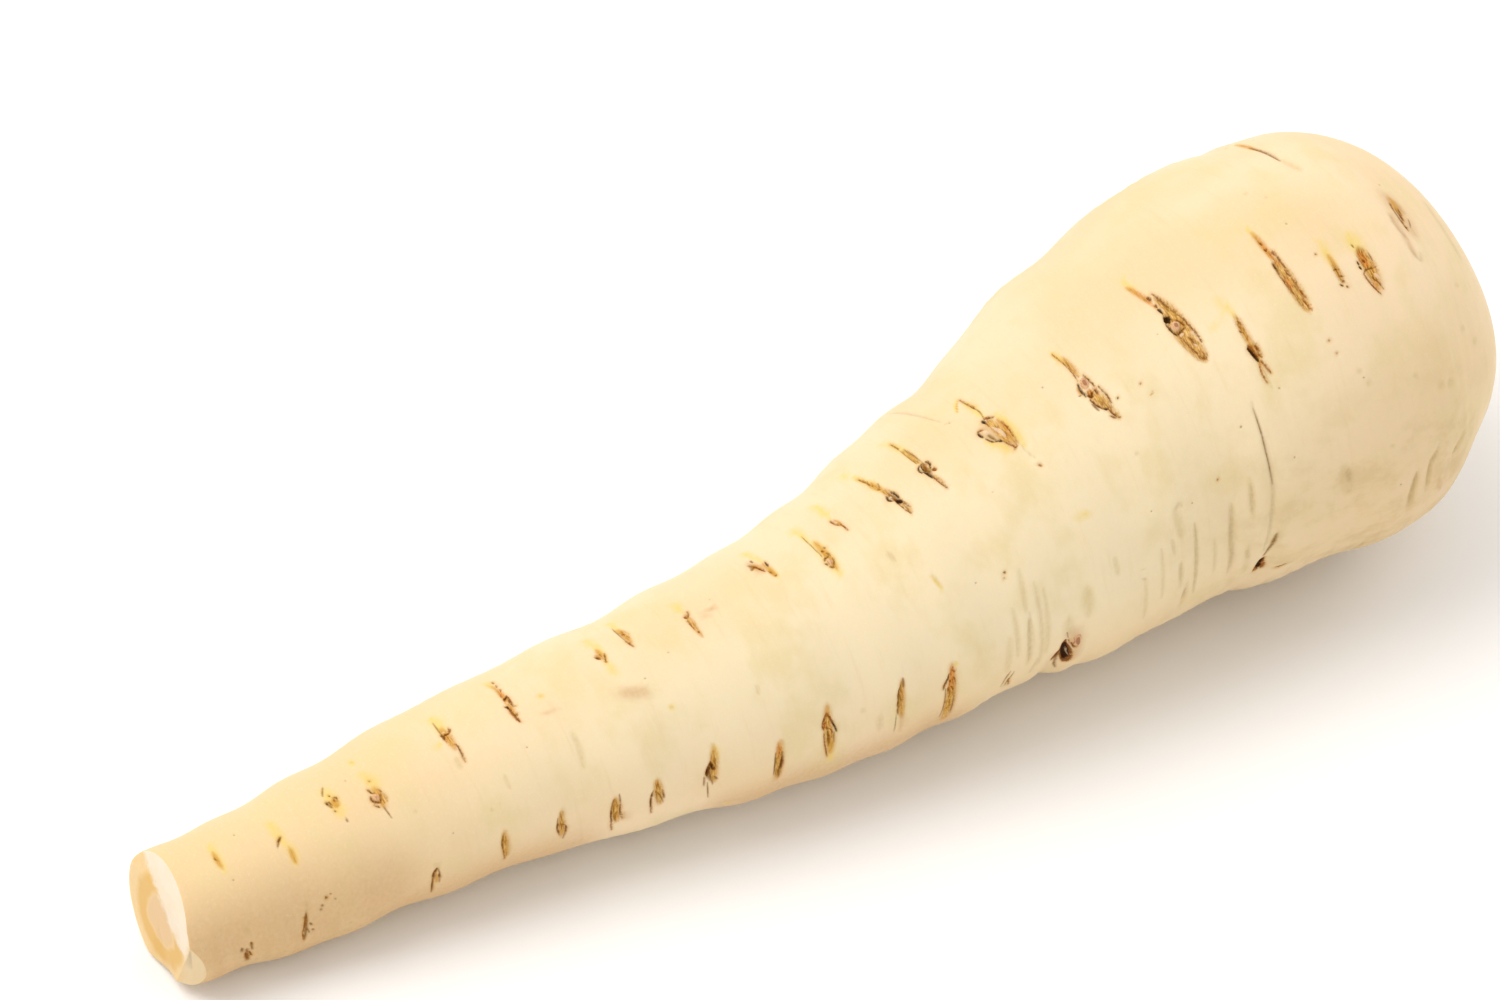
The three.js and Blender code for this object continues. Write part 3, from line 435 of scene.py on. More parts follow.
# Hairlines, wrinkles and dents, by tone in the same way
FINE_LINES = {
    "faint": [
        (0.3, (172.6, 136), (172.6, 148), (172.6, 158), (172.2, 169), (171.6, 178), (171.0, 187)),
        (0.32, (172.6, 144), (172.6, 160), (172.0, 172), (171.3, 184)),
        (0.3, (131.2, 40), (131.5, 55), (132.1, 66), (133.1, 76)),
        (0.3, (196.6, 64), (197.0, 68), (197.1, 74)), (0.3, (150.6, 171), (151.1, 172)),
        (0.3, (157.2, 153), (158.0, 151.6), (158.3, 153)), (0.3, (157.0, 173), (157.0, 181)),
        (0.32, (158.2, 187), (158.1, 193)), (0.3, (159.9, 161), (159.6, 178), (159.8, 192)),
        (0.31, (166.2, 163), (165.8, 175), (166.2, 183), (166.0, 192)),
        (0.3, (169.4, 158), (169.0, 168)), (0.3, (168.2, 182), (168.6, 186)),
        (0.3, (131.9, 160), (131.3, 172), (131.6, 186)), (0.3, (133.0, 186), (132.3, 197)),
        (0.3, (115.7, 110), (116.1, 115)), (0.47, (184.5, 169), (184.9, 174)),
        (0.3, (196.3, 180), (195.6, 187), (195.7, 193)),
        (0.3, (200.0, 176), (198.6, 181), (198.7, 188)), (0.3, (204.4, 179.6), (203.5, 181.4)),
    ],
    "sepia": [
        (0.14, (172.6, 138), (172.6, 148), (172.6, 162)),
        # The second of these is partly the fold's own dark line and partly painted shade beside it, near
        # the pit
        (0.45, (171.6, 190), (172.3, 185), (172.9, 180)),
        (0.22, (196.5, 60), (196.9, 67), (197.1, 74)),
    ],
    "black": [
        (0.5, (171.7, 192.5), (171.4, 196.5)), (0.5, (171.3, 196), (172.0, 198)),
    ],
    "brown": [
        (0.75, (171.7, 191.5), (171.3, 195.5), (171.1, 199)),
        (0.45, (171.8, 193.5), (172.5, 199.5)), (0.26, (174.4, 199.8), (175.8, 199.2)),
    ],
    "olive": [
        # The first of these is painted shade on the crown side of the fold, near its pit
        (0.8, (172.2, 188), (173.1, 179)), (0.5, (173.8, 200), (176.8, 199)),
        (0.2, (133.2, 78), (134.2, 79)), (0.4, (197.2, 74), (198.0, 82)),
        (0.35, (151.0, 172), (151.2, 192)), (0.3, (154.0, 163), (153.9, 185)),
        (0.35, (155.9, 162), (156.1, 168)), (0.7, (157.1, 153), (157.5, 163)),
        (0.35, (157.0, 172), (157.1, 184)), (0.4, (158.3, 184), (158.2, 198)),
        (0.4, (159.8, 161), (159.6, 190)), (0.35, (162.9, 171), (163.1, 186)),
        (0.55, (166.3, 162), (165.9, 176), (166.0, 190)), (0.5, (169.3, 156), (169.1, 170)),
        (0.5, (168.3, 180), (168.6, 194)), (0.45, (131.7, 143), (131.3, 160)),
        (0.55, (131.6, 164), (131.4, 188)), (0.5, (128.3, 168), (128.0, 188)),
        (0.4, (129.4, 156), (129.6, 180)), (0.5, (133.4, 150), (133.6, 192)),
        (0.4, (134.6, 154), (134.4, 186)), (0.3, (119.7, 128), (120.2, 134)),
        (0.8, (141.5, 163), (141.4, 176)), (0.45, (146.5, 157), (146.7, 164)),
        (0.8, (183.6, 167), (184.2, 176), (185.2, 175)),
        (0.45, (196.2, 180), (195.6, 188), (195.8, 196)),
        (0.5, (200.4, 175), (198.6, 180), (198.6, 190)),
        (0.4, (206.5, 178), (204.0, 180), (203.4, 183)),
        (0.5, (216.4, 94), (216.3, 106), (216.5, 122)),
        (0.45, (62.9, 122), (63.0, 132), (62.6, 144)), (0.3, (51.3, 130), (51.4, 139)),
        (0.3, (90.2, 137), (90.1, 142)), (0.5, (107.1, 178), (107.0, 187)),
    ],
    "amber": [
        (0.35, (196.3, 52), (196.6, 64)), (0.2, (159.8, 117.6), (160.7, 117)),
    ],
    "yellow": [
        (0.25, (119.5, 128), (120.5, 137)),
    ],
    "tan": [
        (0.5, (200.4, 187), (201.6, 193)), (0.45, (31.7, 172), (31.9, 190)),
        (0.25, (15.0, 162), (15.9, 167), (15.2, 171)), (0.25, (61.2, 105), (62.4, 104)),
        (0.9, (71.9, 113), (74.9, 117)), (0.35, (88.0, 92), (89.8, 90)),
    ],
    "pale": [
        (0.1, (15.2, 163), (16.2, 165.6)),
    ],
}

# Specks by tone: half width and place
SPECKS = {
    "black": [
        (0.2, (21.6, 162)), (0.13, (155.5, 112)),
    ],
    "sepia": [
        (0.25, (20.5, 170)), (0.25, (20.8, 167)), (0.2, (22.8, 165)), (0.2, (22.3, 160)),
        (0.16, (13.3, 87)), (0.16, (31.1, 88)), (0.13, (41.7, 152)), (0.14, (56.0, 120)),
        (0.14, (75.9, 110)), (0.12, (80.8, 102)), (0.12, (90.5, 84)), (0.14, (133.9, 79)),
        (0.14, (125.3, 140)), (0.17, (147.6, 92)), (0.14, (153.7, 149)), (0.12, (165.3, 103.6)),
        (0.14, (160.1, 154)), (0.16, (177.0, 137)), (0.2, (170.2, 141)), (0.14, (176.4, 157)),
        (0.17, (189.3, 98.6)), (0.17, (193.2, 181.6)), (0.15, (208.8, 90.4)), (0.15, (189.4, 145)),
    ],
    "olive": [
        (0.3, (37.6, 129)), (0.25, (48.0, 147)), (0.3, (61.8, 93)), (0.25, (77.5, 130)),
        (0.3, (154.4, 130)), (0.3, (189.7, 88)), (0.3, (187.6, 84)), (0.4, (189.0, 143)),
        (0.5, (190.0, 147)), (0.6, (202.0, 156)), (0.7, (203.9, 157)), (0.6, (212.2, 152)),
        (0.4, (212.4, 131)), (0.5, (210.0, 145)), (0.4, (197.9, 150)), (0.35, (191.8, 167)),
        (0.4, (104.7, 172)),
    ],
    "yellow": [
        (0.5, (61.7, 93)), (0.45, (77.5, 130)), (0.5, (143, 136.6)), (0.4, (144, 138)),
        (0.6, (172.9, 112)),
    ],
    "orange": [
        (0.13, (132.9, 113)),
    ],
    "brown": [
        (0.14, (129.7, 141.4)), (0.1, (129.4, 143.4)), (0.12, (159.4, 112.8)),
        (0.13, (164.9, 152)), (0.14, (186.2, 132.2)), (0.1, (186.6, 136)), (0.1, (190.4, 110)),
    ],
}

# Broad warm tints low on the root, in the same way: partly the skin's own tan and partly painted shade
# and warm reflected light, along the tip's low side and the underside
BROAD_TAN_AND_PAINTED_SHADE = {
    "tan": [
        (7, (0, 168), (12, 176), (30, 182)), (4, (0, 206), (30, 206), (60, 206)),
        (4, (84, 207), (120, 208)),
    ],
}

# Soft ridges and hollows that follow a line: how much they raise the skin, half width and places
SOFT_FOLDS = [
    (0.3, 2.2, (170.2, 148), (170.3, 160), (169.8, 173), (169.0, 187), (168.2, 198)),
    (-0.3, 0.9, (172.8, 148), (172.7, 160), (172.1, 172), (171.3, 184), (170.8, 196)),
    (-0.7, 1.5, (173.6, 186), (172.8, 192), (172.4, 204)),
    (-0.28, 0.7, (166.3, 158), (165.9, 172), (166.1, 184), (165.8, 196)),
    (-0.22, 0.6, (159.1, 160), (158.7, 176), (158.2, 196)),
    (0.15, 1.1, (161.9, 158), (161.8, 190)),
    (-0.2, 0.6, (155.6, 154), (156.3, 170), (156.4, 190)),
    (-0.18, 0.5, (150.2, 164), (150.4, 196)),
    (-0.15, 0.5, (133.4, 156), (133.9, 175), (133.5, 198)),
    (-0.13, 0.45, (131.4, 152), (131.8, 175), (131.8, 196)),
    (-0.13, 0.45, (127.6, 164), (127.6, 194)),
    (-0.12, 0.4, (129.7, 160), (129.5, 190)),
    (-0.35, 1.4, (184.4, 168), (185.6, 177)),
    (-0.3, 0.7, (196.5, 178), (195.5, 188), (195.9, 200)),
    (0.28, 1.0, (197.9, 178), (197.0, 188), (197.4, 202)),
    (-0.3, 0.6, (200.5, 173), (198.6, 181), (198.8, 194)),
    (0.25, 1.0, (202.4, 172), (200.8, 182), (201.0, 196)),
    (-0.3, 0.6, (206.5, 176), (203.8, 181), (203.6, 192)),
    (-0.2, 0.8, (208.6, 168), (207.8, 182)),
    (-0.5, 1.3, (136.2, 190), (136.6, 204), (136.8, 236)),
    (0.7, 1.5, (140.0, 190), (140.1, 206), (140.3, 236)),
    (-0.4, 1.0, (170.7, 198), (170.6, 214), (170.6, 236)),
    (-0.3, 0.8, (131.7, 38), (131.9, 55), (133.2, 74)),
    (0.2, 1.6, (134.4, 40), (134.8, 66)),
]

# The rows of scars on the underside and the +Y side: their angle and seed, the distances that they
# run between, and how much skin near a resting place stays free of them
HIDDEN_ROWS = [(268, 7), (357, 19)]
HIDDEN_ROW_ENDS = (24, 206)
REST_KEPT_CLEAR = 17

# The specks and wrinkles of the sides that aren't seen: how many, and the angles between them
HIDDEN_SPECKS = 90
HIDDEN_WRINKLES = 46
HIDDEN_ANGLES = (205, 400)
WRINKLED_ANGLES = (205, 300)

# The tones, kept three together on the mesh
MARK_GROUPS = {
    "stains": ("yellow", "olive", "amber"),
    "fills": ("ochre", "orange", "pale"),
    "lines": ("brown", "black", "knob"),
    "washes": ("tan", "sepia", "faint"),
}
TONES = [tone for tones in MARK_GROUPS.values() for tone in tones]
SOFT_TONES = MARK_GROUPS["stains"] + MARK_GROUPS["washes"]
UNDIVIDED_TONES = ("yellow", "tan")
FINEST_TONES = ("brown", "black", "knob", "pale", "sepia")

# How blunt the ends of a mark are, from 0 for a point to 1 for a full end, and how far a soft edge
# fades to each side, in half widths
BLUNT_ENDS = {"knob": 0.8, "sepia": 0.4, "brown": 0.35, "black": 0.45, "olive": 0.3, "tan": 0.8}
PLAIN_END = 0.15
SOFT_EDGE = 0.8

# Cracks and fillings stain the skin beside them amber, this far and this strongly
STAINING_TONES = ("brown", "black", "ochre")
STAIN_SPREAD = 0.75
STAIN_STRENGTH = 0.75

# How far marks raise the skin: the height, and how deep inside the mark it starts and is full
HARD_RELIEF = {"brown": (-0.17, -0.1, 0.16), "black": (-0.7, -0.12, 0.5), "pale": (0.25, -0.1, 0.3)}
FILL_RELIEF = (-0.45, -0.2, 0.95)
SOFT_RELIEF = {"sepia": -0.13, "olive": -0.08, "faint": -0.08, "amber": -0.08}
NOT_MARKED = -1.0

# The lip round a filled scar: its height, its place inside the filling's edge and its reach. The
# end of a stub: how far its edge stands out, how much more its middle does, and how soft its edge is
SCAR_LIP = (0.08, -0.42, 0.3)
STUB_END_RELIEF = (0.1, 0.25, 0.12)

# The tip's cuts: how finely their flesh is divided and how round their edges are. A face with many
# sides is a cut that is still undivided
CUT_RING_COUNT = 14
CUT_EDGE_ROUNDING = 0.8
CUT_EDGE_SEGMENTS = 3
MANY_SIDED = 12
FLESH_SLOT = 1

# The worn corner of the main cut: its angle and how far out it is, how far the wear reaches, how
# deep it goes, how much it leans towards the crown and how often it is smoothed
WORN_CORNER_ANGLE = 252
WORN_CORNER_OUT = 10.5
WORN_CORNER_REACH = 7
WORN_CORNER_DEPTH = 1.5
WORN_CORNER_LEAN = 0.7
WORN_CORNER_SMOOTHINGS = 3


# Curves and places


def smooth_curve(points, places):
    """The points at the given places, from 0 to 1, on a smooth curve through points."""
    points = np.asarray(points, float)
    last = len(points) - 1
    steps = np.clip(np.asarray(places, float), 0, 1) * last
    start = np.minimum(steps.astype(int), last - 1)
    part = steps - start
    if points.ndim > 1:
        part = part[:, None]
    before, here, there, after = (points[np.clip(start + k, 0, last)] for k in (-1, 0, 1, 2))
    leave = (there - before) / 2
    arrive = (after - here) / 2
    cubic = (2 * here - 2 * there + leave + arrive) * part**3
    square = (3 * there - 3 * here - 2 * leave - arrive) * part**2
    return cubic + square + leave * part + here


def bell(distance, reach):
    return np.exp(-0.5 * (distance / reach) ** 2)


def eased(value, low, high):
    """From 0 at low to 1 at high, with soft ends."""
    part = np.clip((value - low) / (high - low), 0, 1)
    return part * part * (3 - 2 * part)


def angle_between(start, end):
    return (end - start + 180) % 360 - 180


outline_samples = smooth_curve(OUTLINE, np.linspace(0, 1, 40 * len(OUTLINE)))
flank = outline_samples[: outline_samples[:, 0].argmax() + 1]


def radius_at(along):
    return np.interp(along, flank[:, 0], flank[:, 1])


def underside_at(along):
    """Height of the underside over the ground, a little below it where the root rests."""
    part = np.clip((along - TIP_REST[0]) / (SHOULDER_REST[0] - TIP_REST[0]), 0, 1)
    beyond = np.maximum(along - SHOULDER_REST[0], 0) / (AXIS_LEVELS_OFF - SHOULDER_REST[0])
    depth = TIP_REST[1] + (SHOULDER_REST[1] - TIP_REST[1]) * part
    return MIDDLE_CLEARANCE * np.sin(math.pi * part) ** 2 + CROWN_CLEARANCE * beyond**2 - depth


def middle_at(along):
    """The root's middle at each distance, as points."""
    along = np.atleast_1d(np.asarray(along, float))
    level = np.minimum(along, AXIS_LEVELS_OFF)
    across = smooth_curve(BEND, along / LENGTH)
    return np.stack([along - LENGTH / 2, across, radius_at(level) + underside_at(level)], axis=1)


def unevenness(along, angle):
    """Slight ovalness and the irregular rings that run round the root."""
    turn = np.radians(angle)
    radius = radius_at(np.minimum(along, AXIS_LEVELS_OFF))
    oval = radius * (0.01 * np.cos(2 * turn - 0.8) + 0.007 * np.cos(3 * turn + 1))
    close = 0.2 * np.sin(along / 2.1 + 1.7 * np.sin(along / 19) + 0.8 * np.sin(turn))
    wide = 0.17 * np.sin(along / 3.4 + 1.1 * np.sin(2 * turn + 0.7))
    return oval + close + wide


def crown_step(along, angle):
    place, direction, reach, drift, height = CROWN_STEP
    off = angle_between(direction, angle)
    past = along - (place + drift * off)
    rise = eased(past, -1.2, 1.2) * bell(np.maximum(past, 0), 9)
    return height * rise * bell(off, reach)


def skin_lift(along, angle):
    """How far the skin stands out from the plain outline."""
    lift = unevenness(along, angle) + crown_step(along, angle)
    for centre, direction, height, reach_along, reach_round in SWELLINGS:
        off = angle_between(direction, angle)
        lift += height * bell(along - centre, reach_along) * bell(off, reach_round)
    return lift


# Marks


def repeatable(seed):
    """Repeatable numbers from 0 to 1, the same as those that place the solid's hidden scars."""
    while True:
        seed = seed * 16807 % 2147483647
        yield seed / 2147483647


def hidden_scars():
    """Place, angle, half length and slant of each scar in the hidden rows."""
    for row_angle, seed in HIDDEN_ROWS:
        draws = repeatable(seed)
        along = HIDDEN_ROW_ENDS[0]
        while along < HIDDEN_ROW_ENDS[1]:
            half_length = 2.4 + radius_at(along) * (0.07 + 0.13 * next(draws))
            angle = row_angle + 18 * (next(draws) - 0.5)
            slant = 0.3 * (next(draws) - 0.4)
            rests = any(abs(along - rest) < REST_KEPT_CLEAR for rest, _ in (TIP_REST, SHOULDER_REST))
            if not (rests and row_angle == HIDDEN_ROWS[0][0]):
                yield along, angle, half_length, slant
            along += 7.5 + 8 * next(draws)


def scar_by_habit(along, angle, half_length, slant, draw):
    """The marks of one scar, drawn the way that those on the seen side go."""
    half_width = 0.3 + 0.085 * half_length
    per_millimetre = math.degrees(1 / radius_at(along))

    def place(part, across):
        run = part * half_length
        return (along + slant * run + across * half_width, angle + run * per_millimetre)

    core = draw.uniform(-0.15, 0.3)
    marks = [
        ("yellow", 0.9 * half_width, place(-1.2, 0), place(0, 0), place(1.2, 0)),
        ("ochre", half_width, place(-0.95, 0), place(0, 0), place(0.95, 0)),
        ("orange", 0.65 * half_width, place(-0.8, 0.1), place(draw.uniform(-0.1, 0.5), 0)),
        ("black", 0.5 * half_width, place(core - 0.12, -0.25), place(core + 0.1, 0.1)),
        ("brown", 0.6 * half_width, place(core - 0.2, 0.1), place(core + 0.25, 0)),
    ]
    if draw.random() < 0.4 and half_length > 4:
        marks.append(("knob", 0.5 * half_width, place(core + 0.16, 0.1), place(core + 0.28, 0)))
    for _ in range(draw.randint(3, 5)):
        side = draw.uniform(-0.85, 0.85)
        start, end = draw.uniform(-0.8, 0), draw.uniform(0.25, 0.95)
        bow = (place(start, side * 0.6), place((start + end) / 2, side), place(end, side * 0.4))
        marks.append(("brown", draw.uniform(0.12, 0.2), *bow))
    return marks


def marks_by_habit():
    """Marks for the sides that aren't seen: scars, specks and fine wrinkles."""
    draw = random.Random(5)
    marks = []
    for scar in hidden_scars():
        marks += scar_by_habit(*scar, draw)
    for _ in range(HIDDEN_SPECKS):
        along, angle = draw.uniform(6, 212), draw.uniform(*HIDDEN_ANGLES)
        tone = draw.choice(("olive", "yellow", "brown", "olive"))
        marks.append((tone, draw.uniform(0.12, 0.3), (along, angle)))
    for _ in range(HIDDEN_WRINKLES):
        along, angle = draw.uniform(100, 210), draw.uniform(*WRINKLED_ANGLES)
        end = (along + draw.uniform(-0.5, 0.5), angle + draw.uniform(8, 26))
        marks.append(("faint", draw.uniform(0.28, 0.4), (along, angle), end))
        marks.append(("olive", draw.uniform(0.25, 0.45), (along, angle), end))
    return marks


def listed(*tables):
    """The marks of tables as one list, each with its tone first."""
    return [(tone, *mark) for table in tables for tone, marks in table.items() for mark in marks]


SEEN_MARKS = listed(UPPER_SCARS, LOWER_SCARS, FINE_LINES, SPECKS)
ALL_MARKS = SEEN_MARKS + marks_by_habit() + listed(BROAD_TAN_AND_PAINTED_SHADE)


def inside(mark, along, angle):
    """How far inside a mark each place on the skin lies, in millimetres, and outside it less than 0."""
    tone, half_width, *places = mark
    first = places[0]
    per_degree = math.radians(1) * float(radius_at(first[0]))
    across = along - first[0]
    around = angle_between(first[1], angle) * per_degree
    if len(places) == 1:
        return half_width - np.hypot(across, around)
    corners = [
        (distance - first[0], angle_between(first[1], turned) * per_degree)
        for distance, turned in places
    ]
    steps = 5 if len(corners) > 2 else 2
    path = smooth_curve(corners, np.linspace(0, 1, (len(corners) - 1) * (steps - 1) + 1))
    lengths = np.hypot(*np.diff(path, axis=0).T)
    blunt = BLUNT_ENDS.get(tone, PLAIN_END)
    best = np.full(len(along), -np.inf)
    done = 0
    for (x, y), (dx, dy), length in zip(path, np.diff(path, axis=0), lengths):
        part = np.clip(((across - x) * dx + (around - y) * dy) / length**2, 0, 1)
        distance = np.hypot(across - x - part * dx, around - y - part * dy)
        through = (done + part * length) / lengths.sum()
        taper = blunt + (1 - blunt) * np.sqrt(np.maximum(4 * through * (1 - through), 0))
        best = np.maximum(best, half_width * taper - distance)
        done += length
    return best


def near(mark, along, angle, margin):
    """Which places lie in the box round a mark, with a margin in millimetres."""
    _, half_width, *places = mark
    alongs = [distance for distance, _ in places]
    turns = [angle_between(places[0][1], turned) for _, turned in places]
    margin = margin + half_width
    spare = math.degrees(margin / float(radius_at(alongs[0])))
    off = angle_between(places[0][1], angle)
    found = (along > min(alongs) - margin) & (along < max(alongs) + margin)
    found &= (off > min(turns) - spare) & (off < max(turns) + spare)
    return np.flatnonzero(found)


def unmarked(tone):
    """The value of a tone where the skin has no mark of it."""
    return 0.0 if tone in SOFT_TONES else NOT_MARKED


def mark_fields(marks, along, angle):
    """For each tone, how strongly it marks each place: soft tones from 0 to 1, others in millimetres."""
    fields = {tone: np.full(len(along), unmarked(tone)) for tone in TONES}
    for mark in marks:
        tone, half_width = mark[:2]
        chosen = near(mark, along, angle, max(1, half_width))
        value = inside(mark, along[chosen], angle[chosen])
        if tone in STAINING_TONES:
            spread = STAIN_STRENGTH * eased(value, -STAIN_SPREAD, 0.1)
            fields["amber"][chosen] = np.maximum(fields["amber"][chosen], spread)
        if tone in SOFT_TONES:
            value = eased(value, -SOFT_EDGE * half_width, SOFT_EDGE * half_width)
        fields[tone][chosen] = np.maximum(fields[tone][chosen], value)
    return fields


def fold_relief(along, angle):
    """How far the soft folds raise or sink the skin."""
    lift = np.zeros(len(along))
    for height, half_width, *places in SOFT_FOLDS:
        mark = ("fold", half_width, *places)
        chosen = near(mark, along, angle, half_width)
        depth = inside(mark, along[chosen], angle[chosen])
        lift[chosen] += height * eased(depth, -SOFT_EDGE * half_width, half_width)
    return lift


def mark_relief(fields):
    """How far the marks raise or sink the skin."""
    filled = np.maximum(fields["ochre"], fields["orange"])
    height, place, reach = SCAR_LIP
    lift = height * bell(filled - place, reach) * (filled > NOT_MARKED + 0.01)
    depths = [(filled, FILL_RELIEF)] + [(fields[tone], relief) for tone, relief in HARD_RELIEF.items()]
    for depth, (height, low, high) in depths:
        lift += height * eased(depth, low, high)
    for tone, height in SOFT_RELIEF.items():
        lift += height * fields[tone]
    rim, middle, softness = STUB_END_RELIEF
    knob = eased(fields["knob"], -softness, softness)
    return lift * (1 - knob) + (rim + middle * eased(fields["knob"], 0, 0.5)) * knob


# The root


def skin_places(points):
    """Distance, radius and angle of points on the straight, round root before it is shaped."""
    angle = np.degrees(np.arctan2(points[:, 2], points[:, 1]))
    return points[:, 0], np.hypot(points[:, 1], points[:, 2]), angle


def turned_root():
    """The outline turned round the X axis, closed at both ends."""
    gaps = np.hypot(*np.diff(outline_samples, axis=0).T)
    step = np.where(outline_samples[1:, 0] < AXIS_LEVELS_OFF, RING_STEP, CROWN_RING_STEP)
    travelled = np.concatenate([[0], np.cumsum(gaps / step)])
    wanted = np.linspace(0, travelled[-1], int(travelled[-1]) + 1)
    rings = [np.interp(wanted, travelled, outline_samples[:, k]) for k in (0, 1)]
    shape = bmesh.new()
    corners = [shape.verts.new((OUTLINE[0][0], 0, 0))]
    corners += [shape.verts.new((along, radius, 0)) for along, radius in zip(*rings)]
    edges = [shape.edges.new(pair) for pair in zip(corners, corners[1:])]
    bmesh.ops.spin(
        shape, geom=corners + edges, cent=(0, 0, 0), axis=(1, 0, 0), dvec=(0, 0, 0),
        angle=math.tau, steps=SECTORS, use_merge=True,
    )
    bmesh.ops.remove_doubles(shape, verts=shape.verts, dist=1e-4)
    bmesh.ops.recalc_face_normals(shape, faces=shape.faces)
    return shape


def divide_near_marks(shape):
    """Divide the skin more finely near its marks."""
    drawn = [mark for mark in ALL_MARKS if mark[0] not in UNDIVIDED_TONES]
    seen = [mark for mark in SEEN_MARKS if mark[0] in FINEST_TONES]
    for marks, reach, spacing in (
        (drawn, 1.1, MARK_STEPS["near"]),
        (drawn, 0.45, MARK_STEPS["close"]),
        (seen, 0.22, MARK_STEPS["drawn"]),
    ):
        faces = list(shape.faces)
        centres = np.array([face.calc_center_median() for face in faces])
        along, radius, angle = skin_places(centres)
        close = np.zeros(len(faces), bool)
        for mark in marks:
            chosen = near(mark, along, angle, reach)
            close[chosen] |= inside(mark, along[chosen], angle[chosen]) > -reach
        close &= radius > radius_at(along) - 1
        edges = {
            edge for face, chosen in zip(faces, close) if chosen
            for edge in face.edges if edge.calc_length() > LONG_EDGE * spacing
        }
        bmesh.ops.subdivide_edges(shape, edges=list(edges), cuts=1, use_grid_fill=True)


def shape_root(mesh):
    """Move every point of the turned root to its place on the real one, and note its marks."""
    points = np.empty(len(mesh.vertices) * 3)
    mesh.vertices.foreach_get("co", points)
    along, radius, angle = skin_places(points.reshape(-1, 3))
    turn = np.radians(angle)
    on_flank = radius > radius_at(along) - 0.05
    radius = np.where(on_flank & (along < LENGTH - 2), radius_at(along), radius)

    fields = mark_fields(ALL_MARKS, along, angle)
    off_skin = (radius < radius_at(along) - 1) | (along < -1)
    for tone, field in fields.items():
        field[off_skin] = unmarked(tone)

    near_axis = np.minimum(radius / STUB_RADIUS, 1)
    on_crown = eased(along, AXIS_LEVELS_OFF, LENGTH)
    ribs = on_crown * bell(radius - STUB_RADIUS, 2.5) * 0.5 * np.cos(STALK_RIBS * turn)
    ribs += on_crown * bell(radius - STUB_RADIUS - 1.5, 3) * 0.12 * np.cos(23 * turn + 2)
    uneven = 0.3 * np.sin(2 * turn + 1) + 0.2 * np.sin(3 * turn)
    lean = CROWN_LEAN[0] * np.cos(turn - math.radians(CROWN_LEAN[1]))
    lift = skin_lift(along, angle) * near_axis + ribs + fine_rings(along, angle)
    lift += mark_relief(fields) + fold_relief(along, angle)
    moved = middle_at(along)
    moved[:, 0] += on_crown * near_axis * (lean + uneven) + stalk_layers(radius, turn) * on_crown
    moved[:, 1] += (radius + lift) * np.cos(turn)
    moved[:, 2] += (radius + lift) * np.sin(turn)
    mesh.vertices.foreach_set("co", moved.ravel())
    store_marks(mesh, fields)


def fine_rings(along, angle):
    """Fine wrinkles that run round the root, stronger towards the shoulder."""
    turn = np.radians(angle)
    strength = 0.03 + 0.05 * eased(along, 120, 195) * (1 - eased(along, 212, 219))
    drift = 1.3 * np.sin(turn + along / 23) + 0.9 * np.sin(3 * turn + along / 9)
    patchy = 0.5 + 0.5 * np.sin(along / 7.3 + 2.3 * np.sin(2 * turn + along / 31))
    return strength * patchy * np.sin(along / 0.42 + 2 * drift)


def stalk_layers(radius, turn):
    """Layers of trimmed leaf stalks on the stub, and how they sink between each other."""
    inside_stub = 1 - eased(radius, 6.2, 7.2)
    rings = np.sin(math.tau * (radius / 2.0 + 0.22 * np.sin(2 * turn + 1) + 0.12 * np.sin(5 * turn)))
    return inside_stub * (0.28 * rings + 0.1 * np.sin(9 * turn + radius * 2))


def store_marks(mesh, fields):
    """Keep the marks on the mesh, three tones together."""
    for name, tones in MARK_GROUPS.items():
        values = np.stack([fields[tone] for tone in tones], axis=1)
        layer = mesh.attributes.new(name, "FLOAT_VECTOR", "POINT")
        layer.data.foreach_set("vector", values.ravel())


def soften_corner(shape):
    """Wear the low corner of the cut round."""
    turn = math.radians(WORN_CORNER_ANGLE)
    outwards = Vector((0, math.cos(turn), math.sin(turn)))
    corner = Vector(middle_at(0)[0]) + WORN_CORNER_OUT * outwards
    inwards = (Vector((WORN_CORNER_LEAN, 0, 0)) - outwards).normalized()
    worn = [point for point in shape.verts if (point.co - corner).length < WORN_CORNER_REACH]
    for point in worn:
        nearness = 1 - (point.co - corner).length_squared / WORN_CORNER_REACH**2
        point.co += inwards * WORN_CORNER_DEPTH * nearness**2
    for _ in range(WORN_CORNER_SMOOTHINGS):
        bmesh.ops.smooth_vert(
            shape, verts=worn, factor=0.5, use_axis_x=True, use_axis_y=True, use_axis_z=True,
        )


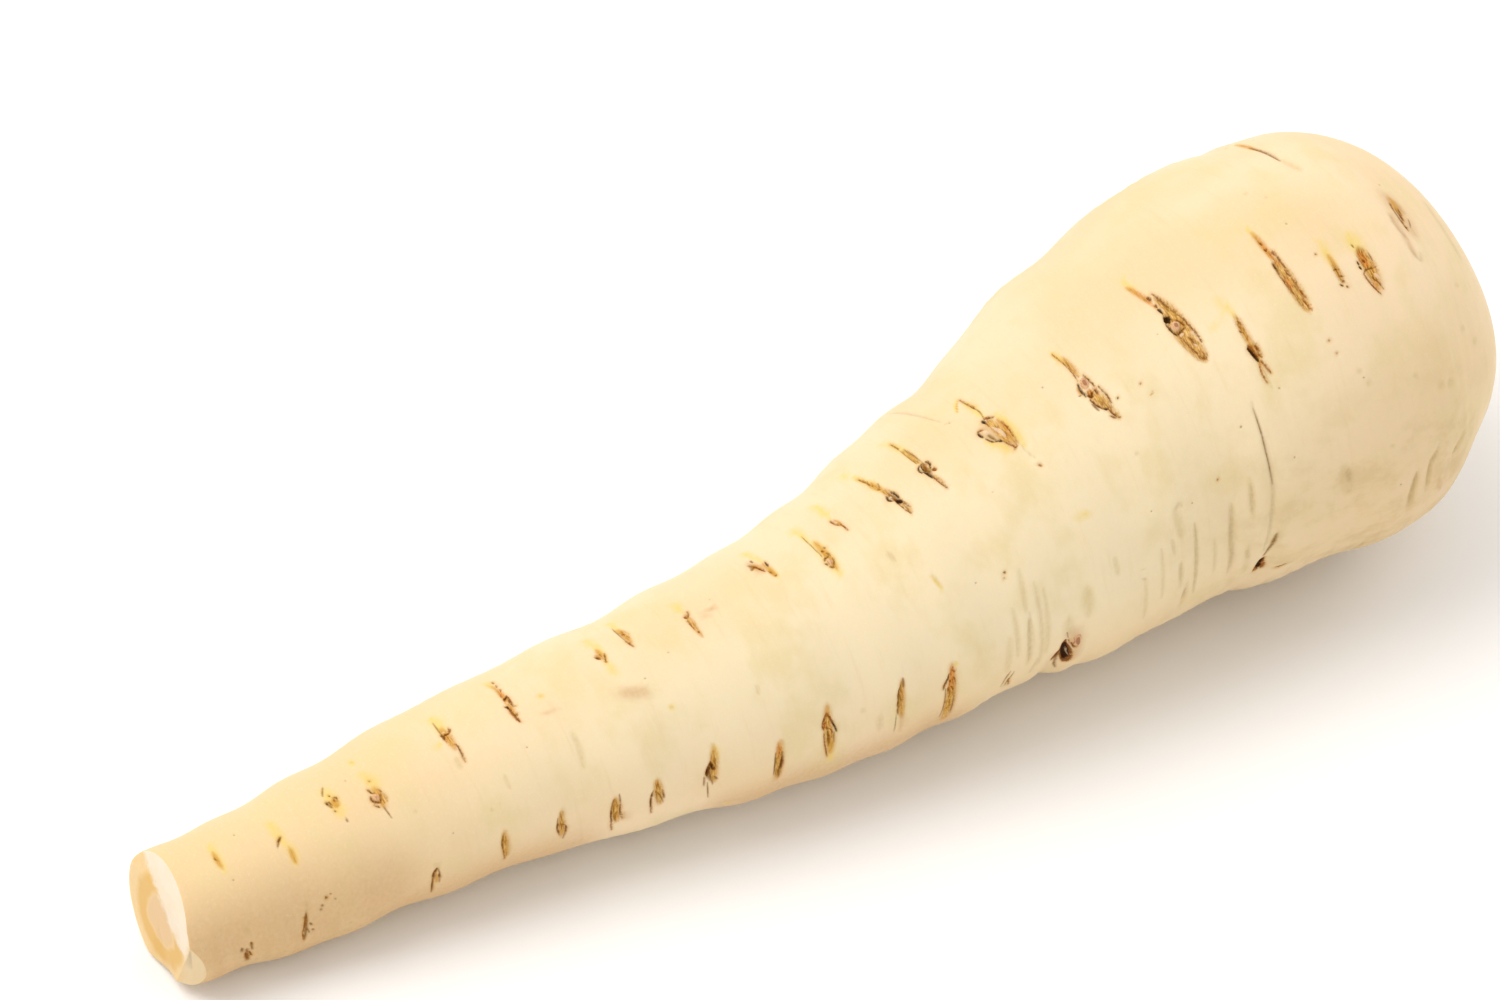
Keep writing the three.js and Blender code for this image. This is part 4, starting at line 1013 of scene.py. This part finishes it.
def cut_tip(shape):
    """Take the tip off with the knife cuts and close each cut with flesh."""
    for angle, across, along, lean in KNIFE_CUTS:
        turn, tilt = math.radians(angle), math.radians(lean)
        outwards = Vector((0, math.cos(turn), math.sin(turn)))
        place = Vector(middle_at(along)[0]) + across * outwards
        facing = math.sin(tilt) * outwards - math.cos(tilt) * Vector((1, 0, 0))
        made = bmesh.ops.bisect_plane(
            shape, geom=shape.verts[:] + shape.edges[:] + shape.faces[:],
            plane_co=place, plane_no=facing, clear_outer=True,
        )
        rim = [piece for piece in made["geom_cut"] if isinstance(piece, bmesh.types.BMEdge)]
        bmesh.ops.edgeloop_fill(shape, edges=rim, mat_nr=FLESH_SLOT)
    cut_faces = [face for face in shape.faces if face.material_index == FLESH_SLOT]
    rims = {edge for face in cut_faces for edge in face.edges}
    bmesh.ops.bevel(
        shape, geom=list(rims), offset=CUT_EDGE_ROUNDING, segments=CUT_EDGE_SEGMENTS,
        profile=0.5, affect="EDGES", material=-1, clamp_overlap=True,
    )
    soften_corner(shape)
    wide = [face for face in shape.faces if len(face.verts) > MANY_SIDED]
    middles = bmesh.ops.poke(shape, faces=wide)["verts"]
    spokes = [edge for middle in middles for edge in middle.link_edges]
    bmesh.ops.subdivide_edges(shape, edges=spokes, cuts=CUT_RING_COUNT)


def root_mesh():
    """The whole root as a mesh in metres."""
    mesh = bpy.data.meshes.new("parsnip_skin_and_flesh")
    shape = turned_root()
    divide_near_marks(shape)
    shape.to_mesh(mesh)
    shape_root(mesh)
    shape.clear()
    shape.from_mesh(mesh)
    cut_tip(shape)
    for corner in shape.verts:
        corner.co.z = max(corner.co.z, 0)
    low, high = (Vector(map(side, *(corner.co for corner in shape.verts))) for side in (min, max))
    cad_middle = (cad_box[0] + cad_box[1]) / (2 * MILLIMETRE)
    shift = cad_middle - (low + high) / 2
    bmesh.ops.translate(shape, verts=shape.verts, vec=(shift.x, shift.y, 0))
    bmesh.ops.scale(shape, verts=shape.verts, vec=(MILLIMETRE,) * 3)
    bmesh.ops.recalc_face_normals(shape, faces=shape.faces)
    for face in shape.faces:
        face.smooth = True
    shape.to_mesh(mesh)
    shape.free()
    return mesh


# Finishes


def colour(red, green, blue):
    """A colour as a shader needs it, from the values from 0 to 255 that a screen shows."""
    parts = [value / 255 for value in (red, green, blue)]
    linear = [
        part / 12.92 if part <= 0.04045 else ((part + 0.055) / 1.055) ** 2.4
        for part in parts
    ]
    return (*linear, 1)


# Colours of the skin
CREAM = colour(240, 215, 177)
WARM_CREAM = colour(234, 207, 163)
GOLDEN_CREAM = colour(229, 200, 150)
# Painted light: a paler cream laid on the upper flank that faces the camera
PAINTED_LIGHT_CREAM = colour(239, 223, 186)
GREENISH_CREAM = colour(226, 206, 154)
LIGHT_CREAM = colour(247, 226, 190)
# Painted shade: a duller cream laid evenly over the lower part of the shoulder and crown
PAINTED_SHADE_CREAM = colour(224, 196, 150)
PINKISH_CREAM = colour(232, 204, 172)
BUFF = colour(222, 194, 144)
DULL_BUFF = colour(206, 178, 128)
STREAKED_BUFF = colour(206, 180, 134)
SOIL = colour(192, 148, 100)
DARK_SOIL = colour(170, 124, 76)

# Colours of its marks
TAN = colour(204, 162, 114)
YELLOW = colour(232, 202, 102)
OLIVE = colour(194, 168, 106)
AMBER = colour(202, 146, 58)
FAINT_BROWN = colour(156, 124, 72)
SEPIA = colour(130, 86, 24)
CORK = colour(216, 166, 80)
DARK_CORK = colour(150, 98, 36)
LIGHT_CORK = colour(242, 208, 138)
RUST = colour(224, 148, 70)
DARK_RUST = colour(160, 82, 30)
UMBER = colour(112, 60, 6)
LIGHT_UMBER = colour(146, 80, 16)
DEEP_BROWN = colour(56, 28, 2)
# Pale cork, and on some knobs a painted highlight
PALE_CORK_AND_HIGHLIGHT = colour(232, 202, 166)
WOOD = colour(220, 178, 136)
DARK_WOOD = colour(180, 126, 80)
WOOD_HEART = colour(150, 92, 62)

# Colours of the cut flesh
FLESH = colour(228, 194, 134)
LIGHT_FLESH = colour(234, 204, 148)
GOLDEN_RING = colour(216, 168, 70)
CORE = colour(218, 180, 128)
# Partly paler flesh and partly painted light, for the top of the cut
PALE_LIT_FLESH = colour(235, 224, 206)
FACET_FLESH = colour(226, 200, 154)
FACET_RIM = colour(216, 178, 130)


class Amount:
    """A value that changes over a surface. Arithmetic on it adds Math nodes to its finish."""

    def __init__(self, finish, socket):
        self.finish = finish
        self.socket = socket

    def maths(self, operation, *values):
        return self.finish.node("ShaderNodeMath", {"operation": operation}, dict(enumerate(values)))

    def __add__(self, other):
        return self.maths("ADD", self, other)

    def __radd__(self, other):
        return self.maths("ADD", other, self)

    def __sub__(self, other):
        return self.maths("SUBTRACT", self, other)

    def __rsub__(self, other):
        return self.maths("SUBTRACT", other, self)

    def __mul__(self, other):
        return self.maths("MULTIPLY", self, other)

    def __rmul__(self, other):
        return self.maths("MULTIPLY", other, self)

    def eased(self, low, high):
        """From 0 at low to 1 at high, with soft ends."""
        settings = {"interpolation_type": "SMOOTHSTEP"}
        return self.finish.node("ShaderNodeMapRange", settings, {0: self, 1: low, 2: high})

    def root(self):
        return self.maths("SQRT", self)

    def part(self, index):
        """One of the three numbers of a vector."""
        return self.finish.node("ShaderNodeSeparateXYZ", {}, {0: self}, index)


class Finish:
    """A material whose colour, gloss and relief are worked out by nodes."""

    def __init__(self, name, **constants):
        self.material = bpy.data.materials.new(name)
        self.material.use_nodes = True
        self.tree = self.material.node_tree
        self.shader = self.tree.nodes["Principled BSDF"]
        for key, value in constants.items():
            self.shader.inputs[key.replace("_", " ")].default_value = value

    def node(self, kind, settings, values, output=0):
        """Add a node of any kind: its settings first, then the values or links of its sockets."""
        made = self.tree.nodes.new(kind)
        for name, setting in settings.items():
            setattr(made, name, setting)
        for key, value in values.items():
            self.join(value, made.inputs[key])
        return Amount(self, made.outputs[output])

    def join(self, value, socket):
        if isinstance(value, Amount):
            self.tree.links.new(value.socket, socket)
        else:
            socket.default_value = value

    def place(self):
        """The place on the object, in millimetres."""
        place = self.node("ShaderNodeTexCoord", {}, {}, "Object")
        return self.scaled(place, (1 / MILLIMETRE,) * 3)

    def scaled(self, vector, factors):
        return self.node("ShaderNodeVectorMath", {"operation": "MULTIPLY"}, {0: vector, 1: factors})

    def moved(self, vector, steps):
        return self.node("ShaderNodeVectorMath", {"operation": "SUBTRACT"}, {0: vector, 1: steps})

    def noise(self, place, closeness, detail=2.0, roughness=0.5):
        """An irregular pattern, with how closely it changes along, across and up."""
        values = {"Vector": self.scaled(place, closeness), "Scale": 1.0}
        values.update({"Detail": detail, "Roughness": roughness})
        return self.node("ShaderNodeTexNoise", {}, values)

    def blend(self, under, over, amount):
        """One colour over another, by an amount from 0 to 1."""
        settings = {"data_type": "RGBA", "clamp_factor": True}
        return self.node("ShaderNodeMix", settings, {0: amount, 6: under, 7: over}, 2)

    def layers(self, tint, *coats):
        """Colours laid over a first one in turn, each by an amount from 0 to 1."""
        for over, amount in coats:
            tint = self.blend(tint, over, amount)
        return tint

    def marks(self, group):
        """The three tones of marks that the mesh keeps together in a group."""
        kept = self.node("ShaderNodeAttribute", {"attribute_name": group}, {}, "Vector")
        return [kept.part(k) for k in range(3)]

    def relief(self, height, strength, distance):
        values = {"Height": height, "Strength": strength, "Distance": distance}
        return self.node("ShaderNodeBump", {}, values)

    def finished(self, **values):
        for key, value in values.items():
            self.join(value, self.shader.inputs[key.replace("_", " ")])
        return self.material


def skin_finish():
    """Cream skin, faintly mottled and ringed, with its scars, cracks and specks, painted light on the
    seen flank, painted shade low on the crown and a few painted highlights and shadows among its marks.
    """
    finish = Finish(
        "parsnip_skin", Specular_IOR_Level=0.1, Subsurface_Weight=0.15,
        Subsurface_Radius=(1.0, 0.6, 0.25), Subsurface_Scale=2 * MILLIMETRE,
    )
    place = finish.place()
    along, across, up = (place.part(k) for k in range(3))
    broad = finish.noise(place, (0.035, 0.045, 0.045))
    patches = finish.noise(place, (0.12, 0.08, 0.08), 3.0, 0.6)
    smudges = finish.noise(place, (0.13, 0.17, 0.17), 4.0, 0.65)
    streaks = finish.noise(place, (0.42, 0.07, 0.07), 4.0, 0.6)
    bands = finish.noise(place, (0.9, 0.09, 0.09), 3.0, 0.6)
    grain = finish.noise(place, (2.6, 2.0, 2.0), 3.0, 0.6)
    fibres = finish.noise(place, (4.2, 0.7, 0.7), 3.0, 0.7)
    ragged = finish.noise(place, (3.6, 2.2, 2.2), 4.0, 0.7) - 0.5
    dotted = finish.noise(place, (1.7, 1.3, 1.3), 3.0, 0.6)
    yellow, olive, amber = finish.marks("stains")
    ochre, orange, pale = finish.marks("fills")
    brown, black, knob = finish.marks("lines")
    tan, sepia, faint = finish.marks("washes")

    towards_tip = 1 - along.eased(-100, -40)
    # The upper flank that faces the camera, over most of the root's length, is painted paler: painted
    # light, not a colour of the skin
    seen_side = (0 - across).eased(0, 13) * up.eased(14, 31)
    painted_light_on_flank = along.eased(-105, -75) * (1 - along.eased(50, 90)) * seen_side
    # The lower part of the shoulder and crown: the even duller cream laid there is painted shade, and
    # the smudges and streaks over it are the skin's own mottling
    crown_mottle_and_painted_shade = along.eased(30, 80) * (1 - along.eased(92, 108)) * (1 - up.eased(30, 58))
    soiled = (1 - along.eased(-92, -62)) * (1 - up.eased(5, 17))
    low = crown_mottle_and_painted_shade * (1 - up.eased(14, 26))
    filled = (ochre + ragged * 1.1).eased(-0.3, 0.45)
    warmed = (orange + ragged).eased(-0.2, 0.4)
    cracked = (brown + ragged * 0.5).eased(-0.14, 0.14) * dotted.eased(0.22, 0.46)
    holes = (black + ragged * 0.4).eased(-0.14, 0.14)
    # Pale cork, and on some knobs painted highlights
    light = (pale + ragged * 0.35).eased(-0.08, 0.14)
    stub = (knob + ragged * 0.2).eased(-0.08, 0.1)

    cork = finish.layers(
        CORK,
        (DARK_CORK, fibres.eased(0.45, 0.62)),
        (LIGHT_CORK, (1 - fibres).eased(0.55, 0.68)),
    )
    rust = finish.blend(RUST, DARK_RUST, fibres.eased(0.48, 0.64))
    umber = finish.blend(UMBER, LIGHT_UMBER, patches.eased(0.4, 0.6))
    wood = finish.layers(
        WOOD,
        (DARK_WOOD, fibres.eased(0.46, 0.66)),
        (WOOD_HEART, knob.eased(0.3, 0.5) * 0.75),
    )
    tint = finish.layers(
        CREAM,
        (WARM_CREAM, broad.eased(0.38, 0.66)),
        (GOLDEN_CREAM, towards_tip * 0.75),
        (PAINTED_LIGHT_CREAM, painted_light_on_flank * 0.8),
        (GREENISH_CREAM, patches.eased(0.46, 0.7) * 0.6),
        (BUFF, bands.eased(0.54, 0.8) * 0.25),
        (LIGHT_CREAM, grain.eased(0.5, 0.8) * 0.3),
        (PAINTED_SHADE_CREAM, crown_mottle_and_painted_shade * 0.65),
        (DULL_BUFF, crown_mottle_and_painted_shade * smudges.eased(0.44, 0.66) * 0.5),
        (PINKISH_CREAM, crown_mottle_and_painted_shade * (1 - smudges.eased(0.32, 0.48)) * 0.5),
        (SOIL, soiled * streaks.eased(0.4, 0.7) * 0.3),
        (DARK_SOIL, soiled * dotted.eased(0.6, 0.75) * 0.4),
        (STREAKED_BUFF, low * streaks.eased(0.5, 0.66) * 0.5),
        (TAN, tan * (0.3 + dotted * 0.5)),
        (YELLOW, yellow * (0.3 + dotted) * 0.8),
        (OLIVE, olive * (0.1 + dotted) * 0.5),
        (AMBER, (amber + ragged * 0.8) * amber * (0.3 + fibres) * 1.1),
        (FAINT_BROWN, faint * (0.1 + dotted) * 0.42),
        (cork, filled * 0.8),
        (rust, warmed * 0.75),
        (SEPIA, (sepia + ragged * 0.8) * sepia * (0.35 + dotted) * 0.95),
        (umber, cracked * 0.92),
        (DEEP_BROWN, holes * 0.95),
        (PALE_CORK_AND_HIGHLIGHT, light * 0.8),
        (wood, stub),
    )
    gloss = 0.46 + 0.12 * grain + 0.3 * filled + 0.2 * cracked + 0.15 * amber
    height = 0.25 * grain + 0.3 * bands + filled * fibres * 2.0
    relief = finish.relief(height, 0.35, 0.35 * MILLIMETRE)
    return finish.finished(Base_Color=tint, Roughness=gloss, Normal=relief)


def flesh_finish():
    """Cut flesh: a golden ring round a pinkish core, and whiter towards the top, partly its own paler
    flesh and partly painted light where the top facet is lit.
    """
    finish = Finish(
        "parsnip_cut_flesh", Specular_IOR_Level=0.4, Subsurface_Weight=0.2,
        Subsurface_Radius=(1.0, 0.7, 0.35), Subsurface_Scale=2 * MILLIMETRE,
    )
    place = finish.moved(finish.place(), tuple(float(value) for value in middle_at(0)[0]))
    along, across, up = (place.part(k) for k in range(3))
    grain = finish.noise(place, (2.0, 1.6, 1.6), 3.0, 0.6)
    blotch = finish.noise(place, (0.3, 0.35, 0.35))
    distance = (across * across + up * up).root() + (blotch - 0.5) * 2.2
    ring = distance.eased(3.8, 5.0) * (1 - distance.eased(6.4, 8.4))
    core = 1 - distance.eased(3.4, 4.6)
    facet = (0 - across * 0.974 - up * 0.225 + (grain - 0.5) * 1.2).eased(7.2, 8.6)
    facet_rim = facet * (along + (grain - 0.5) * 0.8).eased(1.8, 2.8)
    ragged = (grain - 0.5) * 1.6 + (blotch - 0.5) * 3.0
    # Whiter flesh towards the top of the cut: partly its own paler flesh, partly painted light where the
    # top facet is lit
    pale_and_lit_top = (up - across * 0.51 - 3.9 + ragged * 1.3).eased(-1.1, 1.1)
    tint = finish.layers(
        FLESH,
        (LIGHT_FLESH, grain.eased(0.4, 0.7) * 0.5),
        (GOLDEN_RING, ring * 0.85),
        (CORE, core * 0.85),
        (PALE_LIT_FLESH, pale_and_lit_top * (0.55 + blotch * 0.4)),
        (FACET_FLESH, facet),
        (FACET_RIM, facet_rim),
    )
    relief = finish.relief(grain * 0.5 + ring * 0.8, 0.4, 0.2 * MILLIMETRE)
    return finish.finished(Base_Color=tint, Roughness=0.32 + grain * 0.15, Normal=relief)


def add_object(name, data):
    made = bpy.data.objects.new(name, data)
    bpy.context.scene.collection.objects.link(made)
    return made


def make_root():
    mesh = root_mesh()
    mesh.materials.append(skin_finish())
    mesh.materials.append(flesh_finish())
    root = add_object("parsnip", mesh)
    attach(root, "root")
    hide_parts("parsnip_root")


# Setting


# The camera: millimetres and degrees, the azimuth from straight in front
CAMERA_TARGET = (3.3, 24.54, 20.0)
CAMERA_AZIMUTH = -31
CAMERA_ELEVATION = 47
CAMERA_DISTANCE = 1150
CAMERA_LENS = 180.86
SENSOR_WIDTH = 36

# The floor, in metres, and the soft lamps: place, power in watts, width and tint
FLOOR_REACH = 3
FLOOR_COLOUR = (0.94, 0.94, 0.94, 1)
LAMPS = {
    "key_light": ((-0.45, 0.35, 1.1), 8.6, 0.9, (1, 0.94, 0.88)),
    "right_light": ((0.9, 0.25, 0.35), 1.6, 0.6, (1, 0.97, 0.94)),
}
SKY_COLOUR = (1, 1, 1, 1)
SKY_STRENGTH = 0.8


def make_camera():
    azimuth, elevation = math.radians(CAMERA_AZIMUTH), math.radians(CAMERA_ELEVATION)
    level = math.cos(elevation)
    back = Vector((math.sin(azimuth) * level, -math.cos(azimuth) * level, math.sin(elevation)))
    lens = bpy.data.cameras.new("camera")
    lens.lens = CAMERA_LENS
    lens.sensor_width = SENSOR_WIDTH
    lens.clip_start, lens.clip_end = 0.01, 20
    camera = add_object("camera", lens)
    camera.location = (Vector(CAMERA_TARGET) + CAMERA_DISTANCE * back) * MILLIMETRE
    camera.rotation_mode = "QUATERNION"
    camera.rotation_quaternion = (-back).to_track_quat("-Z", "Y")
    bpy.context.scene.camera = camera


def make_floor():
    shape = bmesh.new()
    bmesh.ops.create_grid(shape, x_segments=1, y_segments=1, size=FLOOR_REACH)
    mesh = bpy.data.meshes.new("floor")
    shape.to_mesh(mesh)
    shape.free()
    finish = Finish("pale_floor", Base_Color=FLOOR_COLOUR, Roughness=0.9, Specular_IOR_Level=0.1)
    mesh.materials.append(finish.material)
    add_object("floor", mesh)


def make_light(name, place, power, size, tint):
    """A soft lamp that faces the root."""
    lamp = bpy.data.lights.new(name, "AREA")
    lamp.color = tint
    lamp.energy = power
    lamp.size = size
    light = add_object(name, lamp)
    light.location = place
    light.rotation_mode = "QUATERNION"
    light.rotation_quaternion = (-Vector(place)).to_track_quat("-Z", "Y")


def make_studio():
    make_floor()
    for name, settings in LAMPS.items():
        make_light(name, *settings)
    world = bpy.data.worlds.new("studio")
    world.use_nodes = True
    sky = world.node_tree.nodes["Background"]
    sky.inputs["Color"].default_value = SKY_COLOUR
    sky.inputs["Strength"].default_value = SKY_STRENGTH
    bpy.context.scene.world = world
    bpy.context.scene.view_settings.view_transform = "Standard"


make_camera()
make_studio()
make_root()
